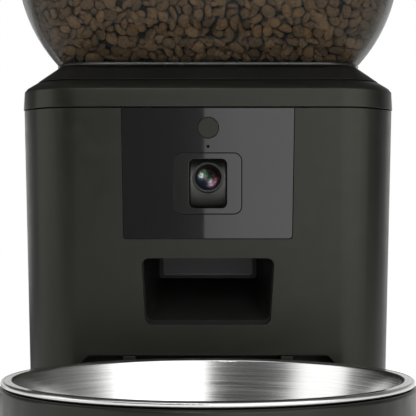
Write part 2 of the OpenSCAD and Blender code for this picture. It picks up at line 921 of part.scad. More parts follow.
module lens_barrel() {
    bevel = 0.7;
    bevel_h = 1;
    color(deep_black) on_lens() rotate([-90, 0, 0]) difference() {
        translate([0, 0, lens_seat]) cylinder(r = lens_r, h = lens_front - lens_seat);
        translate([0, 0, glass_seat]) cylinder(r = glass_r, h = drum_r);
        translate([0, 0, lens_front - bevel_h])
            cylinder(r1 = glass_r, r2 = glass_r + bevel, h = bevel_h + press_gap);
        translate([0, 0, lens_seat + 2]) cylinder(r = glass_r - 1.5, h = drum_r);
    }
}

module lens_glass() {
    ball = chord_radius(glass_bulge, glass_r);
    color(lens_black) on_lens() rotate([-90, 0, 0]) intersection() {
        translate([0, 0, glass_seat]) cylinder(r = glass_r - press_gap, h = glass_bulge + cut);
        translate([0, 0, glass_seat + glass_bulge - ball]) sphere(ball);
    }
}

module sensor_board() {
    chip_w = 8;
    chip_h = 5;
    back = -drum_back - sensor_board_t;
    color(board_green) on_lens() {
        translate([-sensor_side / 2, back, -sensor_side / 2])
            cube([sensor_side, sensor_board_t, sensor_side]);
        translate([-chip_w / 2, back - chip_t, -chip_w / 2]) cube([chip_w, chip_t, chip_h]);
    }
}

// Chute

// Ramp from the wide mouth in the front to the throat behind it
module mouth_loft(grow, front_from) {
    slice = 0.5;
    foot_drop = 1.2;
    half_w = duct_w / 2 + 2 + grow;
    height = throat_h + 1 + foot_drop;
    corner = throat_corner + grow;
    hull() {
        on_front(mouth_mid_z) slab(front_from, front_from + slice) mouth_outline(grow);
        translate([0, 0, throat_z - foot_drop + height / 2]) slab(-throat_front_y - slice, -throat_front_y)
            tapered_outline(half_w, half_w, height + 2 * grow, corner, corner);
    }
}

// Place of the duct's leaning back wall at a height, moved out by the wall's thickness
function duct_back(z, grow) = (z - throat_z) / tan(duct_slope) + grow / sin(duct_slope) - throat_y;

// Extrudes a side outline of the duct across its width
module across(width) {
    translate([-width / 2, 0, 0]) rotate([90, 0, 90]) linear_extrude(width) children();
}

module duct_body() {
    foot = throat_z - duct_heel;
    front = -throat_y - chute_wall;
    across(duct_w + 2 * chute_wall) polygon([
        [front, foot], [duct_back(foot, chute_wall), foot],
        [duct_back(well_z, chute_wall), well_z], [front, well_z]
    ]);
}

module duct_space() {
    top = well_z + cut;
    across(duct_w) polygon([[-throat_y, throat_z], [duct_back(top, 0), top], [-throat_y, top]]);
}

module chute() {
    color(deep_black) difference() {
        union() {
            mouth_loft(chute_wall, wall);
            duct_body();
        }
        mouth_loft(0, -cut);
        duct_space();
        translate([0, 0, throat_z + throat_h / 2]) slab(-throat_front_y - cut, cut - throat_y)
            tapered_outline(duct_w / 2, duct_w / 2, throat_h, throat_corner, throat_corner);
        on_front(shell_z0) translate([-body_w, -body_w, -body_w])
            cube([2 * body_w, body_w + wall + run_gap, 3 * body_w]);
    }
}

module chute_sensors() {
    color(deep_black) for (side = [-1, 1]) {
        translate([side * (duct_w / 2 + chute_wall + sensor_w / 2), sensor_y, sensor_z])
            cube([sensor_w, sensor_l, sensor_h], center = true);
    }
}

// Dispenser

module funnel_cone(drop) {
    reach = body_w;
    translate([0, 0, well_top_z - drop]) cylinder(r1 = well_r, r2 = well_r + reach, h = reach * funnel_rise);
}

// Outlet in the well's floor, kept inside its round wall
module outlet_cut() {
    intersection() {
        translate([-outlet_x, -outlet_front, well_z - cut])
            cube([2 * outlet_x, outlet_front - outlet_back, floor_t + 2 * cut]);
        translate([0, 0, well_z - cut]) cylinder(r = well_r - 1, h = floor_t + 2 * cut);
    }
}

// Throat for the tank, a funnel and the rotor's well, in one moulding
module hopper_deck() {
    color(body_black) difference() {
        union() {
            intersection() {
                square_block(throat_half, well_z, deck_z);
                funnel_cone(deck_wall / cos(funnel_slope));
            }
            translate([0, 0, well_z]) cylinder(r = well_out, h = well_top_z - well_z);
            square_ring(throat_inner, throat_half, deck_z - throat_skirt, ledge_z);
            square_ring(throat_inner, flange_half, post_top, deck_z);
        }
        intersection() {
            square_block(throat_inner, well_z, ledge_z + cut);
            funnel_cone(0);
        }
        translate([0, 0, well_z + floor_t]) cylinder(r = well_r, h = well_top_z - well_z);
        outlet_cut();
        translate([0, 0, well_z - cut]) cylinder(r = bush_r, h = floor_t + 2 * cut);
        at_corners(post_at) {
            translate([0, 0, well_z]) cylinder(r = post_r + fit_gap, h = post_top - well_z);
            translate([0, 0, post_top - cut]) cylinder(r = screw_r + hole_gap, h = flange_t + 2 * cut);
        }
    }
}

module deck_screws() {
    color(steel) at_corners(post_at) translate([0, 0, ledge_z]) mirror([0, 0, 1]) screw(deck_screw);
}

// Fixed plate above the outlet that keeps the tank from pouring straight through
module outlet_shield() {
    width = 2 * (outlet_x + shield_lap);
    color(deep_black) intersection() {
        translate([0, 0, shield_z]) difference() {
            cylinder(r = well_r - run_gap, h = shield_t);
            translate([0, 0, -cut]) cylinder(r = hub_r + 2, h = shield_t + 2 * cut);
        }
        translate([-width / 2, -well_r, shield_z]) cube([width, well_r - outlet_back + shield_lap, shield_t]);
    }
}

module shaft_bushes() {
    color(bronze) for (level = [[well_z, floor_t], [bracket_plate_z, bracket_plate_t]]) {
        translate([0, 0, level[0]]) difference() {
            cylinder(r = bush_r - press_gap, h = level[1]);
            translate([0, 0, -cut]) cylinder(r = shaft_r + run_gap, h = level[1] + 2 * cut);
        }
    }
}

module bracket_post_places() {
    for (x = [-bracket_post_x, bracket_post_x], y = [bracket_post_front, bracket_post_back]) {
        translate([x, y, 0]) children();
    }
}

// Plate that hangs under the well on four posts and carries the motor
module drive_bracket() {
    edge = bracket_post_r + bracket_margin;
    depth = bracket_post_back - bracket_post_front + 2 * edge;
    middle = (bracket_post_back + bracket_post_front) / 2;
    hole_h = bracket_plate_t + 2 * cut;
    color(soft_grey) difference() {
        union() {
            translate([0, middle, bracket_plate_z]) linear_extrude(bracket_plate_t)
                rounded(2 * (bracket_post_x + edge), depth, 4);
            bracket_post_places() translate([0, 0, bracket_plate_top - cut])
                cylinder(r = bracket_post_r, h = well_z - bracket_plate_top + cut);
        }
        translate([0, 0, bracket_plate_z - cut]) cylinder(r = bush_r, h = hole_h);
        translate([0, motor_y, bracket_plate_z - cut]) cylinder(r = motor_nose_r + hole_gap, h = hole_h);
        bracket_post_places() translate([0, 0, bracket_plate_z - cut])
            cylinder(r = screw_r, h = bracket_screw + 3 * cut);
    }
}

module bracket_screws() {
    color(steel) bracket_post_places() translate([0, 0, bracket_plate_z - screw_head_t]) screw(bracket_screw);
}

module gear_motor() {
    cap_t = 2;
    shaft_depth = 6;
    color(steel) translate([0, motor_y, bracket_plate_z]) difference() {
        union() {
            translate([0, 0, -motor_h]) cylinder(r = motor_r, h = motor_h);
            translate([0, 0, -motor_h - cap_t]) cylinder(r = motor_r / 2, h = cap_t);
            cylinder(r = motor_nose_r, h = bracket_plate_t);
        }
        translate([0, 0, -shaft_depth])
            cylinder(r = motor_shaft_r + run_gap, h = shaft_depth + bracket_plate_t + cut);
    }
}

// Involute gears

function involute(base, r) = sqrt(pow(r / base, 2) - 1) * 180 / PI - acos(base / r);
function gear_point(r, angle) = [r * cos(angle), r * sin(angle)];

module gear_outline(teeth) {
    pitch = teeth * gear_module / 2;
    base = pitch * cos(pressure_angle);
    tip = pitch + 0.95 * gear_module;
    root = pitch - 1.2 * gear_module;
    start = max(base, root) + 0.001;
    backlash = 0.16 * gear_module * 180 / (PI * pitch);
    tooth_half = 90 / teeth - backlash / 2 + involute(base, pitch);
    steps = 3;
    polygon([for (tooth = [0:teeth - 1]) let (mid = tooth * 360 / teeth) each concat(
        [gear_point(root, mid - tooth_half - 0.1)],
        [for (i = [0:steps]) let (r = start + (tip - start) * i / steps)
            gear_point(r, mid - tooth_half + involute(base, r))],
        [for (i = [steps:-1:0]) let (r = start + (tip - start) * i / steps)
            gear_point(r, mid + tooth_half - involute(base, r))],
        [gear_point(root, mid + tooth_half + 0.1)]
    )]);
}

module output_gear() {
    color(gear_white) translate([0, 0, gear_z]) linear_extrude(gear_t) difference() {
        gear_outline(gear_teeth);
        circle(hex_r + press_gap, $fn = 6);
    }
}

// The pinion is turned so that one of its gaps faces the gear's tooth nearest to it
module motor_pinion() {
    color(gear_white) translate([0, motor_y, gear_z - 1]) rotate(pinion_turn)
        linear_extrude(gear_t + 2) difference() {
            gear_outline(pinion_teeth);
            circle(motor_hex_r + press_gap, $fn = 6);
        }
}

module motor_shaft() {
    inside = 5;
    hex_h = gear_z + gear_t + 1.5 - bracket_plate_top;
    color(steel) translate([0, motor_y, bracket_plate_z - inside]) {
        cylinder(r = motor_shaft_r, h = inside + bracket_plate_t + 1);
        translate([0, 0, inside + bracket_plate_t]) rotate(pinion_turn)
            cylinder(r = motor_hex_r, h = hex_h, $fn = 6);
    }
}

// Shaft with a collar under the gear and a hexagon inside it
module drive_shaft() {
    color(steel) {
        translate([0, 0, bracket_plate_z]) cylinder(r = shaft_r, h = rotor_top - bracket_plate_z);
        translate([0, 0, gear_z]) cylinder(r = hex_r, h = gear_t, $fn = 6);
        translate([0, 0, gear_z - collar]) cylinder(r = hex_r + collar, h = collar);
    }
}

// Repeats a piece at each blade's angle, so that one blade faces straight back
module at_blades() {
    for (blade = [0:blades - 1]) {
        rotate(blade * 360 / blades + 180 / blades) children();
    }
}

module rotor() {
    overlap = 2;
    color(soft_grey) translate([0, 0, rotor_z]) difference() {
        union() {
            cylinder(r = hub_r, h = rotor_top - rotor_z);
            at_blades() translate([hub_r - overlap, -blade_t / 2, 0])
                cube([wiper_in - hub_r + overlap, blade_t, rotor_top - rotor_z]);
        }
        translate([0, 0, -cut]) cylinder(r = shaft_r + press_gap, h = rotor_top);
    }
}

// Soft silicone tips that end the blades
module rotor_wipers() {
    color(body_black) at_blades() translate([wiper_in, -blade_t / 4, rotor_z])
        cube([rotor_r - wiper_in, blade_t / 2, rotor_top - rotor_z]);
}

// Cone with fingers that stir the food above the rotor
module rotor_cap() {
    fingers = 3;
    tip_r = hub_r / 3;
    finger_lean = 80;
    color(soft_grey) translate([0, 0, rotor_top]) {
        cylinder(r1 = hub_r, r2 = tip_r, h = cap_h);
        for (finger = [0:fingers - 1]) {
            rotate(finger * 360 / fingers) translate([tip_r, 0, cap_h - 5])
                rotate([0, finger_lean, 0]) cylinder(r = finger_r, h = finger_h);
        }
    }
}

// Electronics

module main_board() {
    color(board_green) difference() {
        on_back(seam_z) translate([-board_half, board_y, board_foot - seam_z])
            cube([2 * board_half, board_t, board_top - board_foot]);
        board_hole_places() rod(screw_r + hole_gap, board_y - cut, board_y + board_t + cut);
    }
}

module board_screws() {
    color(steel) board_hole_places() translate([0, board_y + board_t + screw_head_t, 0])
        rotate([90, 0, 0]) screw(board_t + board_gap - 0.6);
}

// Chips, capacitors and plugs on the main board
module board_parts() {
    face = board_y + board_t;
    color(deep_black) on_back(seam_z) {
        translate([-shield_side / 2, face, shield_can_z - seam_z])
            cube([shield_side, shield_can_t, shield_side]);
        translate([driver_x, face, driver_z - seam_z]) cube([driver_side, driver_t, driver_side]);
        for (x = capacitor_x) {
            translate([x, 0, capacitor_z - seam_z]) rod(capacitor_r, face, face + capacitor_h);
        }
        for (x = plug_x) {
            translate([x, face, plug_z - seam_z]) cube([plug_w, plug_t, plug_h]);
        }
    }
}

// Inlet shell with a tongue inside it
module power_inlet() {
    back_t = 1.2;
    tongue_w = 6.6;
    tongue_t = 0.7;
    corner = jack_h / 2 - 0.1;
    floor_y = board_y - back_t;
    color(steel) on_back(jack_z) translate([jack_x, 0, 0]) {
        difference() {
            slab(jack_sink, board_y) rounded(jack_w, jack_h, corner);
            slab(-cut, floor_y) rounded(jack_w - 2 * jack_wall, jack_h - 2 * jack_wall, corner - jack_wall);
        }
        translate([-tongue_w / 2, jack_sink + 0.8, -tongue_t / 2])
            cube([tongue_w, floor_y - jack_sink - 0.3, tongue_t]);
    }
}

module speaker() {
    rim_back = wall + speaker_rim_t;
    color(soft_grey) on_back(speaker_z) {
        rod(speaker_r, wall, rim_back);
        rod(0.7 * speaker_r, rim_back, rim_back + speaker_step);
        rod(0.45 * speaker_r, rim_back + speaker_step, rim_back + 2 * speaker_step);
    }
}

module speaker_grille() {
    slots = 5;
    pitch = 5;
    color(deep_black) on_back(speaker_z) difference() {
        rod(grille_r, grille_sink, wall);
        for (slot = [0:slots - 1]) {
            height = (slot - (slots - 1) / 2) * pitch;
            length = 2 * sqrt(pow(grille_r - 3, 2) - height * height);
            translate([0, 0, height]) slab(-cut, wall + cut) rounded(length, 2, 0.9);
        }
    }
}

// Tank

// Half section of the tank from its spigot to its mouth, drawn in by an inset
module tank_outline(inset) {
    reach = corner_r + body_w / 4;
    intersection() {
        translate([belly_half - core - lower_arc, belly_z]) circle(lower_arc - inset, $fn = 256);
        translate([0, neck_z]) square([reach, belly_h]);
    }
    intersection() {
        translate([belly_half - core - upper_arc, belly_z]) circle(upper_arc - inset, $fn = 256);
        translate([0, belly_z]) square([reach, upper_h]);
    }
    translate([0, spigot_z]) square([spigot_half - core - inset, neck_z - spigot_z]);
}

module tank_jar() {
    color(smoke) around() difference() {
        tank_outline(0);
        tank_outline(tank_wall);
    }
}

// Sloped skirt round the tank's spigot, with a groove for the seal
module tank_skirt() {
    inner = spigot_half + press_gap;
    top = neck_z - 0.1;
    color(deep_black) around() difference() {
        polygon([
            [inner - core, skirt_z], [skirt_half - core, skirt_z],
            [neck_half + 0.2 - core, top], [inner - core, top]
        ]);
        translate([seal_half - seal_w / 2 - core, skirt_z - cut])
            square([seal_w, seal_z + seal_h - skirt_z + cut]);
    }
}

module tank_seal() {
    inner = seal_half - seal_w / 2 + press_gap;
    color(soft_grey) square_ring(inner, inner + seal_w - 2 * press_gap, seal_z, seal_z + seal_h);
}

// A rod along the hinge's axis
module hinge_rod(r, length) {
    translate([0, hinge_y, hinge_z]) cross_rod(r, length);
}

// Ring that caps the tank's mouth and carries the hinge lugs
module tank_rim() {
    foot = mouth_z - rim_drop;
    lug_y = rim_outer - rim_wall / 2;
    color(body_black) difference() {
        union() {
            around() polygon([for (p = [
                [rim_outer - rim_wall, foot], [rim_outer, foot], [rim_outer, rim_top],
                [rim_inner, rim_top], [rim_inner, mouth_z], [rim_outer - rim_wall, mouth_z]
            ]) [p[0] - core, p[1]]]);
            for (x = [-lug_x - lug_w, lug_x]) {
                translate([x, lug_y, foot]) cube([lug_w, hinge_y - lug_y, rim_top - foot]);
                translate([x, hinge_y - knuckle_r, rim_top - cut])
                    cube([lug_w, knuckle_r, hinge_z - rim_top + cut]);
                translate([x + lug_w / 2, 0, 0]) hinge_rod(knuckle_r, lug_w);
            }
        }
        hinge_rod(hinge_pin_r + press_gap, 4 * knuckle_w);
    }
}

module hinge_pin() {
    color(steel) hinge_rod(hinge_pin_r, 2 * (lug_x + lug_w));
}

// Lid

module lid_profile(inset) {
    r = lid_edge_r - inset;
    side = lid_half - core - inset;
    top = lid_top - inset;
    foot = lid_z - (inset > 0 ? cut : 0);
    polygon(concat([[0, foot], [side, foot]], arc_points(side - r, top - r, r, 0, 90, 8), [[0, top]]));
}

// Lid with screw bosses, a hinge knuckle behind and a finger tab in front
module lid_shell() {
    web = lid_wall / 2;
    color(body_black) difference() {
        union() {
            difference() {
                filled_around(lid_z, lid_top) lid_profile(0);
                filled_around(lid_z - cut, lid_top - lid_wall) lid_profile(lid_wall);
            }
            at_corners(lid_boss_at) translate([0, 0, liner_top])
                cylinder(r = lid_boss_r, h = lid_top - web - liner_top);
            translate([-knuckle_w / 2, lid_half - web, lid_z])
                cube([knuckle_w, hinge_y - lid_half + web, knuckle_r + hinge_z - lid_z]);
            hinge_rod(knuckle_r, knuckle_w);
            translate([-tab_w / 2, -lid_half - tab_reach, lid_z]) cube([tab_w, tab_reach + web, tab_h]);
        }
        hinge_rod(hinge_pin_r + run_gap, 2 * knuckle_w);
        at_corners(lid_boss_at) translate([0, 0, liner_top - cut]) cylinder(r = screw_r, h = lid_bore + cut);
    }
}

module lid_liner() {
    color(deep_black) difference() {
        square_block(lid_inner - fit_gap, liner_z, liner_top);
        at_corners(lid_boss_at) translate([0, 0, liner_z - cut])
            cylinder(r = screw_r + hole_gap, h = liner_top - liner_z + 2 * cut);
    }
}

module lid_gasket() {
    color(soft_grey) square_ring(rim_inner + fit_gap, lid_inner - fit_gap, gasket_z, liner_z);
}

module lid_screws() {
    length = liner_top - liner_z + lid_bore - 2;
    color(steel) at_corners(lid_boss_at) translate([0, 0, liner_z - screw_head_t]) screw(length);
}

module desiccant_box() {
    inner = desiccant_w - 2 * box_wall;
    color(deep_black) translate([0, 0, liner_z - desiccant_h]) difference() {
        linear_extrude(desiccant_h) rounded(desiccant_w, desiccant_w, box_corner);
        translate([0, 0, -cut]) linear_extrude(desiccant_h - box_wall + cut)
            rounded(inner, inner, box_corner - box_wall);
    }
}

module desiccant_pack() {
    side = desiccant_w - 2 * (box_wall + fit_gap);
    color([0.9, 0.9, 0.88]) translate([0, 0, liner_z - desiccant_h])
        linear_extrude(desiccant_h - box_wall) rounded(side, side, box_corner - box_wall);
}

// Slotted cover that lets the pack breathe
module desiccant_cover() {
    slot_l = desiccant_w - 16;
    foot = liner_z - desiccant_h - box_wall;
    color(deep_black) translate([0, 0, foot]) linear_extrude(box_wall) difference() {
        rounded(desiccant_w, desiccant_w, box_corner);
        for (slot = [0:box_slots - 1]) {
            translate([0, (slot - (box_slots - 1) / 2) * box_slot_pitch]) rounded(slot_l, box_slot_w, 1.4);
        }
    }
}

// Bowl and tray

module at_bowl() {
    translate([0, -bowl_y, 0]) children();
}

// Half section of the tray: a floor and a wall with a round edge
module tray_section() {
    round_r = tray_wall / 2;
    polygon(concat(
        [[0, pad_h], [tray_foot_r, pad_h]],
        arc_points(tray_r - round_r, tray_h - round_r, round_r, 0, 180, 8),
        [[tray_foot_r - tray_wall, tray_floor], [0, tray_floor]]
    ));
}

// Space inside the tray, out to the middle of its wall
module tray_inside() {
    mid = tray_wall / 2;
    translate([0, 0, tray_floor]) cylinder(r1 = tray_foot_r - mid, r2 = tray_r - mid, h = tray_h);
}

// Hollow block that slides into the dock, with two guide ribs on top
module dock_block() {
    length = bowl_y - block_back;
    height = block_h - base_top;
    difference() {
        union() {
            translate([-block_half, -bowl_y, base_top]) cube([2 * block_half, length, height]);
            for (x = [-rib_x, rib_x]) {
                translate([x - rib_w / 2, -half(dock_z), block_h - cut])
                    cube([rib_w, half(dock_z) - block_back, rib_top - block_h + cut]);
            }
        }
        translate([-block_half + block_wall, -bowl_y, base_top - cut])
            cube([2 * (block_half - block_wall), length - block_wall, height - block_wall + cut]);
        at_bowl() tray_inside();
    }
}

module bowl_tray() {
    color(body_black) {
        at_bowl() rotate_extrude() tray_section();
        dock_block();
    }
}

module tray_pads() {
    pads = 4;
    color(soft_grey) at_bowl() for (pad = [0:pads - 1]) {
        rotate(pad * 360 / pads + 45) translate([tray_foot_r - 18, 0, 0]) cylinder(r = pad_r, h = pad_h);
    }
}

// Bowl section: floor, fillet, leaning wall, flat rim and rolled edge
module bowl_section() {
    bead_x = rim_r - bead_r;
    fillet_z = bowl_floor_z + bowl_fillet;
    roll_z = rim_z - rim_sink - rim_fillet;
    bead_from = 180 - asin(1 - rim_sink / bead_r);
    bead_to = -180 - asin(1 - (rim_sink + bowl_t) / bead_r);
    polygon(concat(
        [[0, bowl_floor_z]],
        arc_points(bowl_floor_r, fillet_z, bowl_fillet, -90, -wall_lean, 10),
        arc_points(rim_fillet_x, roll_z, rim_fillet, 180 - wall_lean, 90, 6),
        arc_points(bead_x, rim_z - bead_r, bead_r, bead_from, bead_to, 20),
        arc_points(rim_fillet_x, roll_z, rim_fillet - bowl_t, 90, 180 - wall_lean, 6),
        arc_points(bowl_floor_r, fillet_z, bowl_fillet + bowl_t, -wall_lean, -90, 10),
        [[0, bowl_floor_z - bowl_t]]
    ));
}

module steel_bowl() {
    color(steel) at_bowl() rotate_extrude() bowl_section();
}

in_place() main_shell();
in_place() top_band();
in_place() base_plate();
in_place() rubber_feet();
in_place() base_screws();
in_place() dock_housing();
in_place() front_panel();
in_place() panel_carrier();
in_place() camera_bezel();
in_place() camera_bracket();
in_place() front_board();
in_place() button_switch();
in_place() microphone();
in_place() infrared_leds();
in_place() chute();
in_place() chute_sensors();
in_place() hopper_deck();
in_place() deck_screws();
in_place() outlet_shield();
in_place() shaft_bushes();
in_place() drive_bracket();
in_place() bracket_screws();
in_place() gear_motor();
in_place() main_board();
in_place() board_parts();
in_place() board_screws();
in_place() power_inlet();
in_place() speaker();
in_place() speaker_grille();
in_place() feed_button();
in_place() camera_drum();
in_place() lens_barrel();
in_place() lens_glass();
in_place() sensor_board();
in_place() drive_shaft();
in_place() output_gear();
in_place() rotor();
in_place() rotor_wipers();
in_place() rotor_cap();
in_place() motor_pinion();
in_place() motor_shaft();
in_place() tank_jar();
in_place() tank_skirt();
in_place() tank_seal();
in_place() tank_rim();
in_place() hinge_pin();
in_place() lid_shell();
in_place() lid_liner();
in_place() lid_gasket();
in_place() lid_screws();
in_place() desiccant_box();
in_place() desiccant_pack();
in_place() desiccant_cover();
in_place() bowl_tray();
in_place() tray_pads();
in_place() steel_bowl();
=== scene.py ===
"""Dresses the pet feeder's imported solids: finishes, food in the tank, lens optics, stage and camera."""

import json
import math

import bmesh
import bpy
import numpy as np
from mathutils import Matrix, Vector, kdtree


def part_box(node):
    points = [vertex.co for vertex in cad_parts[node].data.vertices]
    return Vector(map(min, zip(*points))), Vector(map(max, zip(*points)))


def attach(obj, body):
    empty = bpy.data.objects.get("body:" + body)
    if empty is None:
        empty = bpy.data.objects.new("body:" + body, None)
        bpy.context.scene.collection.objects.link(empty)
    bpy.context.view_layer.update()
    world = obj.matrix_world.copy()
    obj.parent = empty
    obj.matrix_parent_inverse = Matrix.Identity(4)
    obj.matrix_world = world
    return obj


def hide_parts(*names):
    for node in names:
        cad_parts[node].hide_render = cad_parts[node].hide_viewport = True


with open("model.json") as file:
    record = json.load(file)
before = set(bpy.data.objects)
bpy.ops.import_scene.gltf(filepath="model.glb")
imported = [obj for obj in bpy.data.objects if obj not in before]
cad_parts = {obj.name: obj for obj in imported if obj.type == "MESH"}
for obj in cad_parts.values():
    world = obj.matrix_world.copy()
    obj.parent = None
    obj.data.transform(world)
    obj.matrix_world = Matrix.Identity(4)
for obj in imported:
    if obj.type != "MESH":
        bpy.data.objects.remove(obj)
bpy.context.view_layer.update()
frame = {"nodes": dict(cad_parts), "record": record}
scene = bpy.context.scene

MM = 0.001

# What the record and the frame say about the solids
record = frame["record"]
joints = {joint["name"]: joint for joint in record["behaviour"]["joints"]}
slot_of = {part["node"]: part["material_slot"] for part in record["subparts"]}
body_of = {node: body for body, nodes in record["behaviour"]["bodies"].items() for node in nodes}
bowl_low, bowl_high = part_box("steel_bowl")

# Places that the solids also have, in metres
BODY_Y = joints["rotor_spin"]["pos_m"][1]
BOWL_Y = (bowl_low[1] + bowl_high[1]) / 2
THROAT_Y = BODY_Y - 0.0544
NECK_Z = 0.2054
NECK_HALF = 0.0767
BELLY_Z = 0.2593
BELLY_HALF = 0.0985
MOUTH_Z = 0.3393
MOUTH_HALF = 0.0925
TANK_WALL = 0.0025

# Half of the straight part of each side of the tank's rounded square, at every height
CORE = 0.0655

# The lens looks up a little from the axis that the camera tilts on
TILT_AXIS = Vector(joints["camera_tilt"]["pos_m"])
LENS_RISE = math.radians(11.7)
LENS_AXIS = Vector((0, -math.cos(LENS_RISE), math.sin(LENS_RISE)))
LENS_UP = Vector((0, math.sin(LENS_RISE), math.cos(LENS_RISE)))


# Node helpers

# Sockets of a Mix node that mixes colours
MIX_FIRST = 6
MIX_SECOND = 7
MIX_RESULT = 2

# Values that a noise mostly stays between
NOISE_LOW = 0.3
NOISE_HIGH = 0.7

WHITE = (1.0, 1.0, 1.0)


def add(tree, kind, inputs=None, **settings):
    """Adds a shader node with its settings and the values of its sockets."""
    made = tree.nodes.new(kind)
    for key, value in settings.items():
        setattr(made, key, value)
    for key, value in (inputs or {}).items():
        made.inputs[key].default_value = value
    return made


def join(tree, source, output, target, socket):
    """Links an output of one node to a socket of another."""
    tree.links.new(source.outputs[output], target.inputs[socket])


def new_finish(name, **sockets):
    """Makes a material, sets its shader's sockets and returns it with its tree and shader."""
    material = bpy.data.materials.new(name)
    material.use_nodes = True
    tree = material.node_tree
    shader = tree.nodes["Principled BSDF"]
    for key, value in sockets.items():
        shader.inputs[key.replace("_", " ")].default_value = value
    return material, tree, shader


def ramp(tree, stops):
    """A colour ramp from pairs of place and colour."""
    made = add(tree, "ShaderNodeValToRGB")
    elements = made.color_ramp.elements
    while len(elements) < len(stops):
        elements.new(0.5)
    for element, (place, colour) in zip(elements, stops):
        element.position = place
        element.color = (*colour, 1)
    return made


def noise(tree, place, scale, detail=3.0, stretch=(1, 1, 1)):
    """Noise in the object's own metres, with a scale in cells to the metre."""
    mapping = add(tree, "ShaderNodeMapping", {"Scale": stretch})
    texture = add(tree, "ShaderNodeTexNoise", {"Scale": scale, "Detail": detail})
    join(tree, place, "Object", mapping, "Vector")
    join(tree, mapping, "Vector", texture, "Vector")
    return texture


def tinted(tree, shader, source, stops, output="Fac"):
    """Colours a shader by a node's value and a colour ramp."""
    tint = ramp(tree, stops)
    join(tree, source, output, tint, "Fac")
    join(tree, tint, "Color", shader, "Base Color")


def clouded(tree, shader, texture, dark, light):
    """Colours a shader from dark to light by a noise."""
    tinted(tree, shader, texture, [(NOISE_LOW, dark), (NOISE_HIGH, light)])


def glossed(tree, shader, texture, rough):
    """Varies a shader's roughness by a noise, between a low and a high value."""
    low, high = rough
    ends = {"From Min": NOISE_LOW, "From Max": NOISE_HIGH, "To Min": low, "To Max": high}
    gloss = add(tree, "ShaderNodeMapRange", ends)
    join(tree, texture, "Fac", gloss, "Value")
    join(tree, gloss, "Result", shader, "Roughness")


def bumped(tree, shader, texture, strength, depth):
    """Gives a shader the relief of a texture, with a depth in millimetres."""
    bump = add(tree, "ShaderNodeBump", {"Strength": strength, "Distance": depth * MM})
    join(tree, texture, "Fac", bump, "Height")
    join(tree, bump, "Normal", shader, "Normal")


def multiplied(tree, first, second):
    """Multiplies two colour outputs and returns the output of the result."""
    made = add(tree, "ShaderNodeMix", {"Factor": 1.0}, data_type="RGBA", blend_type="MULTIPLY")
    tree.links.new(first, made.inputs[MIX_FIRST])
    tree.links.new(second, made.inputs[MIX_SECOND])
    return made.outputs[MIX_RESULT]


def mixed(tree, share, first, second):
    """Mixes two shaders by the value of another node."""
    made = add(tree, "ShaderNodeMixShader")
    join(tree, share, "Value", made, 0)
    join(tree, first, 0, made, 1)
    join(tree, second, 0, made, 2)
    return made


# Finishes

# The grey of the chute's duct comes in over this stretch behind the throat; the black kept before it, at
# the foot of the back wall, is painted shade
GREY_START = 0.3 * MM
GREY_FULL = 1.3 * MM

# Painted shade in the food's gaps: how far the gaps are felt, how dark the painted shade gets, and the
# rays that feel them
PAINTED_SHADE_REACH = 2.2 * MM
GAP_PAINTED_SHADE = (0.08, 0.08, 0.06)
PAINTED_SHADE_RAYS = 8

# The way that a lens coating's tint runs, from its upper right to its lower left
COAT_WAY = (-0.66, 0.0, -0.75)


def moulded(name, dark, light, rough, grain=1500.0, depth=0.02, **sockets):
    """Moulded plastic with a fine grain, and soft patches in its colour and its gloss."""
    material, tree, shader = new_finish(name, **sockets)
    place = add(tree, "ShaderNodeTexCoord")
    patches = noise(tree, place, scale=42.0, detail=5.0)
    tinted(tree, shader, patches, [(0.35, dark), (0.65, light)])
    glossed(tree, shader, noise(tree, place, scale=120.0, detail=4.0), rough)
    bumped(tree, shader, noise(tree, place, scale=grain, detail=2.0), strength=0.35, depth=depth)
    return material


def polished(name, dark, light, rough):
    """Polished plastic with a very slight ripple and traces of wiping in its gloss."""
    material, tree, shader = new_finish(name)
    place = add(tree, "ShaderNodeTexCoord")
    clouded(tree, shader, noise(tree, place, scale=20.0), dark, light)
    glossed(tree, shader, noise(tree, place, scale=60.0, detail=6.0, stretch=(1, 1, 4)), rough)
    bumped(tree, shader, noise(tree, place, scale=30.0, detail=1.0), strength=0.04, depth=0.05)
    return material


def smoked():
    """Smoked clear plastic that grows denser where it is seen at a slant."""
    material, tree, shader = new_finish("smoked_clear", Roughness=0.07, IOR=1.49, Specular_IOR_Level=0.4)
    place = add(tree, "ShaderNodeTexCoord")
    haze = noise(tree, place, scale=18.0)
    clouded(tree, shader, haze, dark=(0.03, 0.032, 0.027), light=(0.042, 0.044, 0.038))
    slant = add(tree, "ShaderNodeLayerWeight", {"Blend": 0.3})
    cover = add(tree, "ShaderNodeMapRange", {"To Min": 0.15, "To Max": 1.0})
    join(tree, slant, "Facing", cover, "Value")
    join(tree, cover, "Result", shader, "Alpha")
    bumped(tree, shader, noise(tree, place, scale=25.0, detail=1.0), strength=0.03, depth=0.1)
    return material


def chute_black():
    """Black plastic of the chute, whose duct behind the throat is grey, with black kept at the foot of
    the duct's back wall as painted shade.
    """
    material, tree, shader = new_finish("chute_black", Specular_IOR_Level=0.14)
    place = add(tree, "ShaderNodeTexCoord")
    parts = add(tree, "ShaderNodeSeparateXYZ")
    join(tree, place, "Object", parts, "Vector")
    ends = {"From Min": THROAT_Y + GREY_START, "From Max": THROAT_Y + GREY_FULL}
    depth = add(tree, "ShaderNodeMapRange", ends)
    join(tree, parts, "Y", depth, "Value")
    # Black is the chute's plastic, and also painted shade at the foot of the duct's back wall
    black = (0.008, 0.008, 0.0075)
    duct_grey = (0.26, 0.26, 0.264)
    tinted(tree, shader, depth, [(0.0, black), (1.0, duct_grey)], output="Result")
    glossed(tree, shader, noise(tree, place, scale=120.0, detail=4.0), (0.38, 0.5))
    bumped(tree, shader, noise(tree, place, scale=1500.0, detail=2.0), strength=0.35, depth=0.02)
    return material


